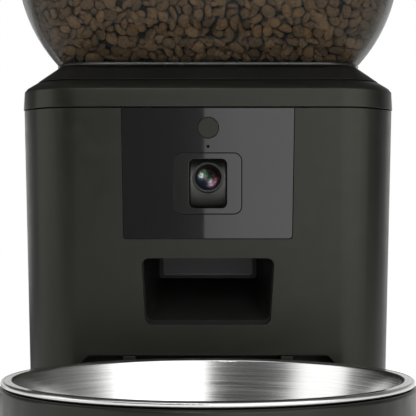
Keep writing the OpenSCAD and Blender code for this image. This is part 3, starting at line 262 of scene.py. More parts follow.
def turned_lines(tree, place, axis_y):
    """Noise drawn out into fine lines round an upright axis."""
    middle = add(tree, "ShaderNodeMapping", {"Location": (0, -axis_y, 0)})
    join(tree, place, "Object", middle, "Vector")
    parts = add(tree, "ShaderNodeSeparateXYZ")
    join(tree, middle, "Vector", parts, "Vector")
    turn = add(tree, "ShaderNodeMath", operation="ARCTAN2")
    join(tree, parts, "Y", turn, 0)
    join(tree, parts, "X", turn, 1)
    flat = add(tree, "ShaderNodeCombineXYZ")
    join(tree, parts, "X", flat, "X")
    join(tree, parts, "Y", flat, "Y")
    reach = add(tree, "ShaderNodeVectorMath", operation="LENGTH")
    join(tree, flat, "Vector", reach, 0)
    rolled = add(tree, "ShaderNodeCombineXYZ")
    join(tree, turn, "Value", rolled, "X")
    join(tree, reach, "Value", rolled, "Y")
    join(tree, parts, "Z", rolled, "Z")
    squeeze = add(tree, "ShaderNodeMapping", {"Scale": (1.6, 1700.0, 1700.0)})
    join(tree, rolled, "Vector", squeeze, "Vector")
    lines = add(tree, "ShaderNodeTexNoise", {"Scale": 1.0, "Detail": 5.0})
    join(tree, squeeze, "Vector", lines, "Vector")
    return lines


def brushed(name, colour, axis_y, rough):
    """Steel brushed round an upright axis: fine lines in gloss, tone and relief that follow the turn."""
    material, tree, shader = new_finish(name, Metallic=1.0, Anisotropic=0.6)
    place = add(tree, "ShaderNodeTexCoord")
    lines = turned_lines(tree, place, axis_y)
    dark = tuple(0.82 * c for c in colour)
    clouded(tree, shader, lines, dark, colour)
    glossed(tree, shader, lines, rough)
    bumped(tree, shader, lines, strength=0.08, depth=0.02)
    along = add(tree, "ShaderNodeTangent", direction_type="RADIAL", axis="Z")
    join(tree, along, "Tangent", shader, "Tangent")
    return material


def plated(name, dark, light, rough):
    """Plain plated or sintered metal with cloudy tone and fine scratches."""
    material, tree, shader = new_finish(name, Metallic=1.0)
    place = add(tree, "ShaderNodeTexCoord")
    clouded(tree, shader, noise(tree, place, scale=160.0, detail=5.0), dark, light)
    glossed(tree, shader, noise(tree, place, scale=700.0, stretch=(1, 1, 6)), rough)
    return material


def circuit():
    """Green solder mask with lighter lines of copper under it."""
    material, tree, shader = new_finish("board_green", Roughness=0.35)
    place = add(tree, "ShaderNodeTexCoord")
    pattern = {
        "Scale": 160.0,
        "Mortar Size": 0.03,
        "Color1": (0.012, 0.075, 0.03, 1),
        "Color2": (0.016, 0.09, 0.038, 1),
        "Mortar": (0.04, 0.16, 0.07, 1),
    }
    traces = add(tree, "ShaderNodeTexBrick", pattern)
    join(tree, place, "Object", traces, "Vector")
    join(tree, traces, "Color", shader, "Base Color")
    bumped(tree, shader, traces, strength=0.2, depth=0.03)
    return material


def baked(name, browns, pit_dark):
    """Baked food: each piece has its own brown, with darker pits, painted shade in the gaps between
    pieces, and a dusty face.
    """
    material, tree, shader = new_finish(name, Specular_IOR_Level=0.2)
    place = add(tree, "ShaderNodeTexCoord")
    island = add(tree, "ShaderNodeNewGeometry")
    tone = ramp(tree, [(i / (len(browns) - 1), brown) for i, brown in enumerate(browns)])
    join(tree, island, "Random Per Island", tone, "Fac")
    pits = noise(tree, place, scale=700.0, detail=5.0)
    pitted = ramp(tree, [(0.32, (pit_dark, pit_dark, pit_dark)), (0.55, WHITE)])
    join(tree, pits, "Fac", pitted, "Fac")
    # Painted shade: the colour darkens where pieces close in on each other
    felt = {"Distance": PAINTED_SHADE_REACH}
    gap_shade_ao = add(tree, "ShaderNodeAmbientOcclusion", felt, samples=PAINTED_SHADE_RAYS, only_local=True)
    painted_gap_shade = ramp(tree, [(0.2, GAP_PAINTED_SHADE), (0.85, WHITE)])
    join(tree, gap_shade_ao, "AO", painted_gap_shade, "Fac")
    colour = multiplied(tree, tone.outputs["Color"], pitted.outputs["Color"])
    colour = multiplied(tree, colour, painted_gap_shade.outputs["Color"])
    tree.links.new(colour, shader.inputs["Base Color"])
    glossed(tree, shader, pits, (0.62, 0.85))
    bumped(tree, shader, pits, strength=0.5, depth=0.3)
    return material


def coated(name, tints, cover, span):
    """A coated lens face: a faint mirror whose tint runs across it, a span in millimetres each way."""
    material, tree, shader = new_finish(name, Metallic=1.0, Roughness=0.15, Alpha=cover)
    place = add(tree, "ShaderNodeTexCoord")
    across = add(tree, "ShaderNodeVectorMath", {1: COAT_WAY}, operation="DOT_PRODUCT")
    join(tree, place, "Object", across, 0)
    middle = COAT_WAY[2] * TILT_AXIS.z
    ends = {"From Min": middle - span * MM, "From Max": middle + span * MM}
    share = add(tree, "ShaderNodeMapRange", ends)
    join(tree, across, "Value", share, "Value")
    tinted(tree, shader, share, tints, output="Result")
    return material


def make_finishes():
    """One finish for each of the record's material slots."""
    return {
        "body_matte": moulded(
            "body_matte", (0.0068, 0.007, 0.006), (0.009, 0.0092, 0.0078), (0.29, 0.36),
            Specular_IOR_Level=0.3, Specular_Tint=(0.98, 1.0, 0.85, 1),
        ),
        "deep_black": moulded(
            "deep_black", (0.005, 0.005, 0.0047), (0.007, 0.007, 0.0066), (0.38, 0.5),
            Specular_IOR_Level=0.35,
        ),
        "gloss_black": polished(
            "gloss_black", (0.0045, 0.0045, 0.0046), (0.006, 0.006, 0.0061), (0.015, 0.03),
        ),
        "smoked_clear": smoked(),
        "inner_grey": moulded("inner_grey", (0.09, 0.09, 0.095), (0.12, 0.12, 0.125), (0.45, 0.6)),
        "gear_white": moulded("gear_white", (0.62, 0.62, 0.55), (0.7, 0.7, 0.63), (0.4, 0.5)),
        "board_green": circuit(),
        "soft_rubber": moulded(
            "soft_rubber", (0.08, 0.08, 0.082), (0.1, 0.1, 0.103), (0.65, 0.8), grain=900.0,
        ),
        "black_rubber": moulded(
            "black_rubber", (0.01, 0.01, 0.01), (0.015, 0.015, 0.015), (0.6, 0.75), grain=900.0,
        ),
        "bowl_steel": brushed("bowl_steel", (0.72, 0.72, 0.71), BOWL_Y, (0.15, 0.23)),
        "plain_steel": plated("plain_steel", (0.42, 0.42, 0.42), (0.52, 0.52, 0.52), (0.25, 0.4)),
        "bush_bronze": plated("bush_bronze", (0.42, 0.29, 0.1), (0.5, 0.36, 0.14), (0.35, 0.5)),
        "lens_glass": polished("lens_glass", (0.002, 0.004, 0.004), (0.003, 0.006, 0.006), (0.01, 0.02)),
        "pack_white": moulded(
            "pack_white", (0.7, 0.7, 0.66), (0.8, 0.8, 0.77), (0.8, 0.9), grain=500.0, depth=0.1,
        ),
    }


def make_own_finishes():
    """Finishes of nodes that look darker or greyer than the rest of their slot."""
    return {
        "microphone": finishes["deep_black"],
        "dock_block": finishes["deep_black"],
        "chute": chute_black(),
        "camera_bezel": polished(
            "bezel_black", (0.009, 0.009, 0.0085), (0.011, 0.011, 0.0105), (0.015, 0.03),
        ),
        # The drum's grey is lighter than the body's plastic as painted light, making up for the light its
        # recess keeps off it
        "camera_drum": moulded("drum_grey", (0.055, 0.055, 0.05), (0.062, 0.062, 0.056), (0.45, 0.55)),
    }


finishes = make_finishes()
own_finishes = make_own_finishes()


def finish_of(node):
    """The finish of a node: its own, or else its slot's."""
    return own_finishes.get(node, finishes[slot_of[node]])


def paint_solids():
    """Gives every carried-over solid its finish."""
    for name, solid in frame["nodes"].items():
        solid.material_slots[0].link = "OBJECT"
        solid.material_slots[0].material = finish_of(name)


# Pieces

# Radius of the rounded edges of moulded and polished nodes, in millimetres
SOFT_EDGES = {
    "main_shell": 0.4,
    "top_band": 0.4,
    "base_plate": 0.4,
    "dock_housing": 0.3,
    "front_panel": 0.2,
    "camera_bezel": 0.2,
    "camera_drum": 0.3,
    "lens_barrel": 0.12,
    "feed_button": 0.3,
    "chute": 0.4,
    "tank_skirt": 0.4,
    "tank_rim": 0.3,
    "lid_shell": 0.4,
    "bowl_tray": 0.4,
    "speaker_grille": 0.2,
}
WELD = 0.002 * MM
FLAT_ANGLE = math.radians(0.4)
SHARP_ANGLE = math.radians(35)
EDGE_STEPS = 2
FACE_WEIGHT = 100


def new_piece(name, mesh, body, material):
    """Puts a mesh in the scene as a piece that rides on a body."""
    piece = bpy.data.objects.new(name, mesh)
    scene.collection.objects.link(piece)
    piece.data.materials.clear()
    piece.data.materials.append(material)
    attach(piece, body)
    return piece


def from_bmesh(name, shape):
    """Turns a shape into a mesh and lets go of it."""
    mesh = bpy.data.meshes.new(name)
    shape.to_mesh(mesh)
    shape.free()
    return mesh


def smooth_faces(shape):
    """Shades every face of a shape smoothly."""
    for face in shape.faces:
        face.smooth = True


def sharp_edges(shape):
    """Edges where two faces of a shape meet at a clear angle."""
    inner = [edge for edge in shape.edges if len(edge.link_faces) == 2]
    return [edge for edge in inner if edge.calc_face_angle(0) > SHARP_ANGLE]


def softened(node, radius):
    """Stands in for a solid with the same shape, and edges rounded as moulding leaves them."""
    shape = bmesh.new()
    shape.from_mesh(frame["nodes"][node].data)
    bmesh.ops.remove_doubles(shape, verts=shape.verts, dist=WELD)
    bmesh.ops.dissolve_limit(shape, angle_limit=FLAT_ANGLE, verts=shape.verts, edges=shape.edges)
    bmesh.ops.bevel(
        shape, geom=sharp_edges(shape), offset=radius * MM, offset_type="OFFSET", segments=EDGE_STEPS,
        profile=0.5, affect="EDGES", clamp_overlap=True, loop_slide=True,
    )
    smooth_faces(shape)
    mesh = from_bmesh(node + "_skin", shape)
    if "custom_normal" in mesh.attributes:
        mesh.attributes.remove(mesh.attributes["custom_normal"])
    piece = new_piece(node + "_skin", mesh, body_of[node], finish_of(node))
    normals = piece.modifiers.new("even_faces", "WEIGHTED_NORMAL")
    normals.weight = FACE_WEIGHT
    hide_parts(node)


# Food in the tank

SEED = 20

# Baked pieces, with half sizes as long, wide and thick, the last two as shares of the first
LUMP_LONG = (3.2 * MM, 4.5 * MM)
LUMP_WIDE = (0.62, 0.96)
LUMP_THICK = (0.34, 0.48)
LUMP_BEND = 0.7
LUMP_SKEW = 0.22
LUMP_FULLNESS = 0.7
LUMP_SIDES = 10
LUMP_RINGS = (-58, -20, 20, 58)
BEND_LEVEL = 0.3

# How far a piece's flat face tips from what it leans on, in degrees, and how that is shared out
MOST_TIP = 84
TIP_POWER = 0.75

# Rows of places for the pieces on the wall and behind them, and how far these are shaken
PITCH = 6.2 * MM
DEEP_PITCH = 6.4 * MM
DEEP = 4.4 * MM
ROW_STEP = 0.87
SHAKE = 0.4

# How the pieces settle against each other and the wall
SNUG = 0.92
SETTLE_STEPS = 40
PAIRS_EVERY = 10
PAIR_REACH = 2.1 * LUMP_LONG[1]
PUSH_SHARE = 0.3
DRAW_SHARE = 0.25
WALL_GAP = 0.15 * MM
TILT_STEP = 0.5 * MM
LEAST = 0.01 * MM

# Heights of the food, its loose top layers and the dark mass inside, whose near-black colour is painted
# shade
FOOD_LOW = 0.208
FOOD_TOP = 0.308
TOP_INSET = 10 * MM
TOP_SINKS = (0, 2 * MM)
TOP_ROUGH_MM = 2
CORE_DEPTH = 8.0 * MM
CORE_SINK = 4 * MM
CORE_LOW = NECK_Z + MM
CORE_STEPS = 16
CORE_CORNER_STEPS = 8

# The bead at the tank's foot
BEAD_R = 0.9 * MM
BEAD_Z = NECK_Z + 1.0 * MM
BEAD_CORE = CORE - 8 * MM
BEAD_PROUD = 0.2
BEAD_STEPS = 12

FOOD_BROWNS = [(0.185, 0.109, 0.05), (0.28, 0.167, 0.077), (0.37, 0.225, 0.106)]
# Near-black browns of the mass inside: painted shade for the food deep in the tank, seen in the gaps
CORE_SHADE_BROWNS = [(0.012, 0.01, 0.007), (0.018, 0.014, 0.009)]


def tank_half(z, inset):
    """Half width of the tank at a height or at many, drawn in by an inset."""
    lower = np.less(z, BELLY_Z)
    run = BELLY_HALF - np.where(lower, NECK_HALF, MOUTH_HALF)
    rise = BELLY_Z - np.where(lower, NECK_Z, MOUTH_Z)
    arc = (run * run + rise * rise) / (2 * run)
    drop = z - BELLY_Z
    return BELLY_HALF - arc + np.sqrt((arc - inset) ** 2 - drop * drop)


def wall_tilt(z):
    """Slope of the tank's wall at a height: how fast its half width grows with the height."""
    return (tank_half(z + TILT_STEP, TANK_WALL) - tank_half(z - TILT_STEP, TANK_WALL)) / (2 * TILT_STEP)


def plan_point(half, share):
    """Point on the rounded square of a half width at a share of the way round."""
    radius = half - CORE
    side = 2 * CORE
    quarter, rest = divmod(share * 4, 1)
    travel = rest * (side + radius * math.pi / 2)
    if travel < side:
        point = Vector((half, travel - CORE, 0))
    else:
        angle = (travel - side) / radius
        point = Vector((CORE + radius * math.cos(angle), CORE + radius * math.sin(angle), 0))
    return Matrix.Rotation(quarter * math.pi / 2, 3, "Z") @ point


def wall_beside(places):
    """Outward directions of the wall beside places in the tank, and the room that each has to it."""
    z = places[:, 2]
    over = np.sign(places[:, :2]) * np.maximum(np.abs(places[:, :2]) - CORE, 0)
    reach = np.linalg.norm(over, axis=1)
    out = np.column_stack((over / np.maximum(reach, LEAST)[:, None], -wall_tilt(z)))
    length = np.linalg.norm(out, axis=1)
    room = (tank_half(z, TANK_WALL) - CORE - reach) / length
    return out / length[:, None], room


def wall_places(rng, pitch):
    """Shaken rows of places on the tank's inner wall."""
    places = []
    z = FOOD_LOW
    row = 0
    while z < FOOD_TOP:
        half = tank_half(z, TANK_WALL)
        count = round((8 * CORE + 2 * math.pi * (half - CORE)) / pitch)
        for i in range(count):
            share = (i + 0.5 * (row % 2) + rng.uniform(-SHAKE, SHAKE)) / count
            point = plan_point(half, share % 1)
            places.append((point.x, point.y, z + rng.uniform(-SHAKE, SHAKE) * pitch))
        z += ROW_STEP * pitch / math.hypot(1, wall_tilt(z))
        row += 1
    places = np.array(places)
    places[:, 2] = np.clip(places[:, 2], FOOD_LOW, FOOD_TOP)
    return places


def top_places(rng, sink):
    """Places of a layer of loose pieces on top of the food, sunk a little."""
    half = tank_half(FOOD_TOP, TANK_WALL) - TOP_INSET
    count = int(2 * half / PITCH)
    rows, columns = np.meshgrid(np.arange(count), np.arange(count))
    grid = np.column_stack((rows.ravel(), columns.ravel())) + 0.5
    flat = grid + rng.uniform(-SHAKE, SHAKE, grid.shape)
    heights = FOOD_TOP - sink + rng.uniform(-TOP_ROUGH_MM, TOP_ROUGH_MM, len(flat)) * MM
    return np.column_stack((flat * PITCH - half, heights))


def unit(vectors):
    """Vectors brought to a length of 1."""
    return vectors / np.linalg.norm(vectors, axis=1)[:, None]


def lump_axes(rng, faces):
    """Long, wide and thick directions of pieces whose faces look one way and tip from it."""
    tip = np.radians(MOST_TIP * rng.uniform(0, 1, len(faces)) ** TIP_POWER)
    side = unit(np.cross(faces, rng.normal(size=faces.shape)))
    thick = faces * np.cos(tip)[:, None] + side * np.sin(tip)[:, None]
    long = unit(np.cross(thick, rng.normal(size=faces.shape)))
    return np.stack((long, np.cross(thick, long), thick), axis=1)


def lump_halves(rng, count):
    """Half sizes of pieces along their long, wide and thick directions."""
    long = rng.uniform(*LUMP_LONG, count)
    wide = long * rng.uniform(*LUMP_WIDE, count)
    thick = long * rng.uniform(*LUMP_THICK, count)
    return np.column_stack((long, wide, thick))


def span_along(axes, halves, way):
    """How far ovals reach along directions."""
    return np.linalg.norm(np.einsum("nkc,nc->nk", axes, way) * halves, axis=1)


def radius_along(axes, halves, way):
    """Distance from the middles of ovals to their skins along directions."""
    return 1 / np.linalg.norm(np.einsum("nkc,nc->nk", axes, way) / halves, axis=1)


def near_pairs(places, reach):
    """Pairs of places that lie within a reach of each other, as two rows of numbers."""
    tree = kdtree.KDTree(len(places))
    for i, place in enumerate(places):
        tree.insert(place, i)
    tree.balance()
    found = []
    for i, place in enumerate(places):
        found += [(i, j) for _, j, _ in tree.find_range(place, reach) if i < j]
    return np.array(found).T


def push_apart(places, axes, halves, pairs):
    """Moves ovals that overlap away from each other."""
    first, second = pairs
    way = places[second] - places[first]
    distance = np.linalg.norm(way, axis=1)
    way /= np.maximum(distance, LEAST)[:, None]
    touch = radius_along(axes[first], halves[first], way)
    touch += radius_along(axes[second], halves[second], way)
    push = way * (PUSH_SHARE * np.maximum(SNUG * touch - distance, 0))[:, None]
    np.add.at(places, first, -push)
    np.add.at(places, second, push)


def lean_on_wall(places, axes, halves):
    """Brings pieces inside the wall, and draws those that lost it back to it."""
    out, room = wall_beside(places)
    spare = room - span_along(axes, halves, out) - WALL_GAP
    places += out * np.where(spare > 0, DRAW_SHARE * spare, spare)[:, None]
    places[:, 2] = np.clip(places[:, 2], FOOD_LOW, FOOD_TOP)


def settle(places, axes, halves):
    """Lets pieces press each other aside until they lie close."""
    for step in range(SETTLE_STEPS):
        if step % PAIRS_EVERY == 0:
            pairs = near_pairs(places, PAIR_REACH)
        push_apart(places, axes, halves, pairs)
        lean_on_wall(places, axes, halves)


def lump_pattern():
    """Points of one piece of unit size, from its back to its front, and its faces."""
    points = [(0, 0, -1)]
    for lean in np.radians(LUMP_RINGS):
        reach = math.cos(lean) ** LUMP_FULLNESS
        for turn in 2 * math.pi * np.arange(LUMP_SIDES) / LUMP_SIDES:
            points.append((reach * math.cos(turn), reach * math.sin(turn), math.sin(lean)))
    points.append((0, 0, 1))
    last = len(points) - 1
    faces = []
    for i in range(LUMP_SIDES):
        j = (i + 1) % LUMP_SIDES
        faces.append((0, 1 + j, 1 + i))
        for low in range(1, last - LUMP_SIDES, LUMP_SIDES):
            faces.append((low + i, low + j, low + LUMP_SIDES + j, low + LUMP_SIDES + i))
        faces.append((last - LUMP_SIDES + i, last - LUMP_SIDES + j, last))
    return np.array(points), faces


def lump_points(rng, pattern, places, axes, halves):
    """Points of all pieces: bent, a little egg-shaped, and kept off the wall."""
    count = len(places)
    bend = rng.uniform(-LUMP_BEND, LUMP_BEND, count)[:, None] * (pattern[:, 0] ** 2 - BEND_LEVEL)
    skew = 1 + rng.uniform(-LUMP_SKEW, LUMP_SKEW, count)[:, None] * pattern[:, 0]
    shape = np.repeat(pattern[None], count, axis=0)
    shape[:, :, 1] *= skew
    shape[:, :, 2] += bend
    points = places[:, None] + np.einsum("npk,nkc->npc", shape * halves[:, None], axes)
    points = points.reshape(-1, 3)
    out, room = wall_beside(points)
    points += out * np.minimum(room - WALL_GAP, 0)[:, None]
    return points + (0, BODY_Y, 0)


def food_lumps():
    """Pieces that lean on the tank's wall, a layer behind them, and loose layers on top."""
    rng = np.random.RandomState(SEED)
    leaning = wall_places(rng, PITCH)
    axes = lump_axes(rng, wall_beside(leaning)[0])
    halves = lump_halves(rng, len(leaning))
    settle(leaning, axes, halves)
    behind = wall_places(rng, DEEP_PITCH)
    behind -= wall_beside(behind)[0] * DEEP
    others = np.vstack([behind] + [top_places(rng, sink) for sink in TOP_SINKS])
    upward = np.tile((0.0, 0.0, 1.0), (len(others), 1))
    places = np.vstack((leaning, others))
    axes = np.vstack((axes, lump_axes(rng, upward)))
    halves = np.vstack((halves, lump_halves(rng, len(others))))
    pattern, pattern_faces = lump_pattern()
    points = lump_points(rng, pattern, places, axes, halves)
    starts = range(0, len(points), len(pattern))
    faces = [tuple(start + i for i in face) for start in starts for face in pattern_faces]
    mesh = bpy.data.meshes.new("food_lumps")
    mesh.from_pydata(points, [], faces)
    mesh.shade_smooth()
    return mesh


def ring_section(half, z, steps, core):
    """Points of a rounded square, with the same count for every half width."""
    points = []
    radius = half - core
    for quarter in range(4):
        turn = Matrix.Rotation(quarter * math.pi / 2, 3, "Z")
        for i in range(steps + 1):
            angle = math.pi / 2 * i / steps
            corner = Vector((core + radius * math.cos(angle), core + radius * math.sin(angle), 0))
            points.append(turn @ corner + Vector((0, BODY_Y, z)))
    return points


def lofted(name, sections, closed):
    """Skins a row of closed sections, and joins the last to the first or caps both ends."""
    shape = bmesh.new()
    rings = [[shape.verts.new(p) for p in section] for section in sections]
    pairs = list(zip(rings, rings[1:]))
    if closed:
        pairs.append((rings[-1], rings[0]))
    for low, high in pairs:
        count = len(low)
        for i in range(count):
            j = (i + 1) % count
            shape.faces.new((low[i], low[j], high[j], high[i]))
    if not closed:
        shape.faces.new(list(reversed(rings[0])))
        shape.faces.new(rings[-1])
    smooth_faces(shape)
    return from_bmesh(name, shape)


def food_core():
    """The mass of food behind the pieces that lean on the wall, near-black as painted shade for the food
    deep inside.
    """
    sections = []
    for i in range(CORE_STEPS + 1):
        z = CORE_LOW + i * (FOOD_TOP - CORE_SINK - CORE_LOW) / CORE_STEPS
        half = tank_half(z, TANK_WALL) - CORE_DEPTH
        sections.append(ring_section(half, z, CORE_CORNER_STEPS, CORE))
    return lofted("food_core", sections, closed=False)


def foot_bead():
    """Moulded bead along each side of the tank's foot, which sinks into the wall before the corners."""
    sections = []
    for i in range(BEAD_STEPS):
        angle = 2 * math.pi * i / BEAD_STEPS
        half = tank_half(BEAD_Z, 0) + BEAD_R * (BEAD_PROUD + math.cos(angle))
        sections.append(ring_section(half, BEAD_Z + BEAD_R * math.sin(angle), BEAD_STEPS, BEAD_CORE))
    return lofted("tank_foot_bead", sections, closed=True)


def fill_tank():
    """Adds the food and the bead, which ride on the tank."""
    # The core's near-black browns are painted shade
    new_piece("food_core", food_core(), "tank", baked("food_core", CORE_SHADE_BROWNS, pit_dark=0.5))
    new_piece("food_lumps", food_lumps(), "tank", baked("dry_food", FOOD_BROWNS, pit_dark=0.55))
    bead_grey = moulded("bead_grey", (0.035, 0.035, 0.032), (0.05, 0.05, 0.046), (0.2, 0.3))
    new_piece("tank_foot_bead", foot_bead(), "tank", bead_grey)


# Lens

# Profiles of lens pieces: pairs of radius and distance along the lens's axis, in millimetres
DOME_BACK = [(0, 12.3), (5.9, 12.1)]
FRONT_BACK = [(0, 12.45), (5.5, 12.25)]
DISH_BACK = [(0, 11.9), (5.5, 12.28)]
PUPIL_BACK = [(0, 7.1), (1.2, 7.1)]
SEAT_PROFILE = [(4.3, 12.12), (5.85, 12.12), (5.85, 12.2), (4.45, 12.2), (4.3, 12.12)]
RING_STEPS = [(4.55, 9.9), (4.0, 9.4), (3.4, 8.8), (2.8, 8.2), (2.2, 7.6)]
RING_BACK = 7.0
RING_BEVEL = 0.12
TURNED_SIDES = 64
CAP_STEPS = 10

# Tints of the coatings, as pairs of place across the face and colour
CLEAR_TINTS = [(0.0, (0.6, 1.0, 0.8)), (1.0, (0.5, 0.8, 1.0))]
COOL_TINTS = [
    (0.0, (0.02, 0.06, 0.04)),
    (0.14, (0.1, 0.6, 0.22)),
    (0.36, (0.85, 0.95, 0.9)),
    (0.5, (0.8, 0.88, 1.0)),
    (0.78, (0.16, 0.32, 0.6)),
]
ROSE_TINTS = [(0.2, (0.5, 0.1, 0.22)), (0.5, (0.8, 0.2, 0.48)), (0.7, (0.06, 0.05, 0.08))]
ICE_TINTS = [(0.35, WHITE), (0.6, (0.35, 0.85, 1.0))]


def lens_circle(shape, radius, along):
    """Points of a circle on the lens's axis, or one point where its radius is nothing."""
    middle = TILT_AXIS + LENS_AXIS * along * MM
    if radius == 0:
        return [shape.verts.new(middle)]
    ring = []
    for i in range(TURNED_SIDES):
        angle = 2 * math.pi * i / TURNED_SIDES
        way = Vector((math.cos(angle), 0, 0)) + LENS_UP * math.sin(angle)
        ring.append(shape.verts.new(middle + way * radius * MM))
    return ring


def turned(name, profile):
    """A mesh turned on the lens's axis from pairs of radius and distance along it, in millimetres."""
    shape = bmesh.new()
    rings = [lens_circle(shape, radius, along) for radius, along in profile]
    for low, high in zip(rings, rings[1:]):
        for i in range(TURNED_SIDES):
            j = (i + 1) % TURNED_SIDES
            corners = (low[i % len(low)], low[j % len(low)], high[j % len(high)], high[i % len(high)])
            shape.faces.new(list(dict.fromkeys(corners)))
    bmesh.ops.recalc_face_normals(shape, faces=shape.faces)
    smooth_faces(shape)
    return from_bmesh(name, shape)


def cap(ball, reach, top):
    """Profile of a round cap from its rim to its top, hollow where the ball's radius is negative."""
    points = []
    for i in range(CAP_STEPS + 1):
        radius = reach * (1 - i / CAP_STEPS)
        sag = math.copysign(abs(ball) - math.sqrt(ball * ball - radius * radius), ball)
        points.append((radius, top - sag))
    return points


def lens_rings():
    """Stepped dark rings that show through the front glass, down from the seat round it."""
    widest = RING_STEPS[0][0]
    narrowest, lowest = RING_STEPS[-1]
    profile = [(widest, RING_BACK)]
    for (radius, along), (inner, _) in zip(RING_STEPS, RING_STEPS[1:]):
        profile += [(radius, along), (inner + RING_BEVEL, along), (inner, along - RING_BEVEL)]
    profile += [(narrowest, lowest), (narrowest, RING_BACK), (widest, RING_BACK)]
    return turned("lens_rings", profile)


def lens_piece(name, mesh, material):
    """Adds a lens piece, which rides on the camera."""
    return new_piece(name, mesh, "camera", material)


def add_lens():
    """Front dome, two coated inner glasses that mirror the lights, dark rings, and a small pupil."""
    dome = turned("lens_dome", DOME_BACK + cap(ball=9.56, reach=6.0, top=14.2))
    glass = lens_piece("lens_dome", dome, coated("dome_coating", CLEAR_TINTS, cover=0.003, span=4.0))
    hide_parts("lens_glass")
    front = turned("lens_front", FRONT_BACK + cap(ball=40.0, reach=5.6, top=12.7))
    lens_piece("lens_front", front, coated("front_coating", COOL_TINTS, cover=0.024, span=3.6))
    dish = turned("lens_dish", DISH_BACK + cap(ball=-40.0, reach=5.5, top=12.0))
    lens_piece("lens_dish", dish, coated("dish_coating", ROSE_TINTS, cover=0.026, span=3.6))
    ring_black = moulded("ring_black", (0.006, 0.013, 0.01), (0.009, 0.017, 0.014), (0.45, 0.55))
    lens_piece("lens_seat", turned("lens_seat", SEAT_PROFILE), ring_black)
    lens_piece("lens_rings", lens_rings(), ring_black)
    pupil = turned("lens_pupil", PUPIL_BACK + cap(ball=1.3, reach=1.25, top=8.6))
    lens_piece("lens_pupil", pupil, coated("pupil_coating", ICE_TINTS, cover=0.45, span=1.3))


# Stage, light and camera

# Cards all round the part: how far off they stand, and the heights where their glow changes
CARD_REACH = 1.5
CARD_LOW = 0.34
CARD_TOP = 1.0
CARD_STEP = 6
DARK = 0.1

# Two cards above: their height, and their left, right, front and back edges, in metres
CEILING = 1.3
CEILING_SPLIT = -0.55
CEILING_REACH = CARD_REACH + 0.05
CEILING_FRONT = (-CEILING_REACH, CEILING_REACH, -CEILING_REACH, CEILING_SPLIT)
CEILING_BACK = (-CEILING_REACH, CEILING_REACH, CEILING_SPLIT, CEILING_REACH)
CEILING_GLOW = 1.2

# The edge in front that the glossy panel mirrors, in degrees, and half of its softness
SPLIT = -0.23
CRISP = 0.02

# Glows round the part, as pairs of azimuth from the front in degrees and glow
BACK_LEFT = [(-180, 1.0), (-130, 1.0), (-112, 0.6)]
SHADY_LEFT = [(-180, 0.05)]
LEFT_LOW = [(-101, DARK), (-95, 1.6), (-46, 1.6), (-36, 0.2), (-28, DARK)]
LEFT_MIDDLE = [(-101, DARK), (-95, 1.6), (-62, 1.7), (-51, 0.2), (-45, DARK)]
DIM_FRONT = [(-8, 0.2), (-2, 0.3), (SPLIT - CRISP, 0.45)]
DARK_FRONT = [(SPLIT - CRISP, DARK)]
RIGHT_LIGHTS = [
    (SPLIT + CRISP, 1.75), (2, 2.1), (12, 2.5), (45, 2.5),
    (58, 2.0), (74, 0.5), (86, 0.25), (104, 0.14),
]
BACK_RIGHT = [(113, 0.6), (125, 1.0), (180, 1.0)]
GREY_RIGHT = [(130, 0.35), (180, 0.35)]

# Two cards just above the floor: their height, and their left, right, front and back edges, in metres
FLOOR_CARD = 0.004
FRONT_CARD = (-0.8, 0.8, -1.45, -0.4)
FRONT_GLOWS = [1.1, 2.2, 2.2, 1.1]
LEFT_CARD = (-1.45, -0.2, 0.25, 1.45)

# The small light that the lens mirrors: azimuth and rise of its corners from the lens, in degrees
LENS_LIGHT = [(-1.8, 35.3), (-5.0, 38.2), (-13.9, 28.2), (-10.5, 25.3)]
LENS_LIGHT_AWAY = 1.0
LENS_LIGHT_GLOW = 30.0

# Lamps: name, place, size in metres and power in watts
LAMPS = [
    ("key_right", (0.8, -1.1, 1.2), 0.8, 9),
    ("fill_left", (-1.1, -0.6, 0.9), 0.9, 3),
    ("top", (0.1, -0.1, 1.5), 1.0, 11),
]
LAMP_TARGET = (0, 0.03, 0.15)
WORLD_LIGHT = 0.35

# The floor: its size, and how much of it shows as plain white
FLOOR_REACH = 6.0
FLOOR_SHARE = 0.9
FLOOR_WHITE = 1.07

# The camera looks level from in front of the body's middle
CAMERA_AWAY = 0.805
CAMERA_Z = 0.123
CAMERA_FOCAL = 123.3
CAMERA_SENSOR = 36.0
CAMERA_SHIFT = 0.0457
CAMERA_FAR = 50

SQUARE = [(0, 1, 2, 3)]
PLAIN_WHITE = (*WHITE, 1)


def level(left, right, front, back, z):
    """Corners of a level rectangle."""
    return [(left, front, z), (right, front, z), (right, back, z), (left, back, z)]


def card(name, points, faces, glows):
    """A studio card that only reflections see, with a glow at each of its points."""
    mesh = bpy.data.meshes.new(name)
    mesh.from_pydata(points, [], faces)
    mesh.attributes.new("glow", "FLOAT", "POINT").data.foreach_set("value", glows)
    plate = bpy.data.objects.new(name, mesh)
    scene.collection.objects.link(plate)
    material = bpy.data.materials.new(name)
    material.use_nodes = True
    tree = material.node_tree
    tree.nodes.clear()
    shine = add(tree, "ShaderNodeEmission", {"Color": PLAIN_WHITE})
    join(tree, add(tree, "ShaderNodeAttribute", attribute_name="glow"), "Fac", shine, "Strength")
    out = add(tree, "ShaderNodeOutputMaterial")
    join(tree, shine, "Emission", out, "Surface")
    mesh.materials.append(material)
    plate.visible_camera = False
    plate.visible_diffuse = False
    plate.visible_shadow = False


def from_lens(azimuth, rise):
    """Point in a direction from the lens: degrees round from the front to the right, and up."""
    turn = math.radians(azimuth)
    lift = math.radians(rise)
    flat = math.cos(lift) * LENS_LIGHT_AWAY
    up = math.sin(lift) * LENS_LIGHT_AWAY
    return TILT_AXIS + Vector((flat * math.sin(turn), -flat * math.cos(turn), up))


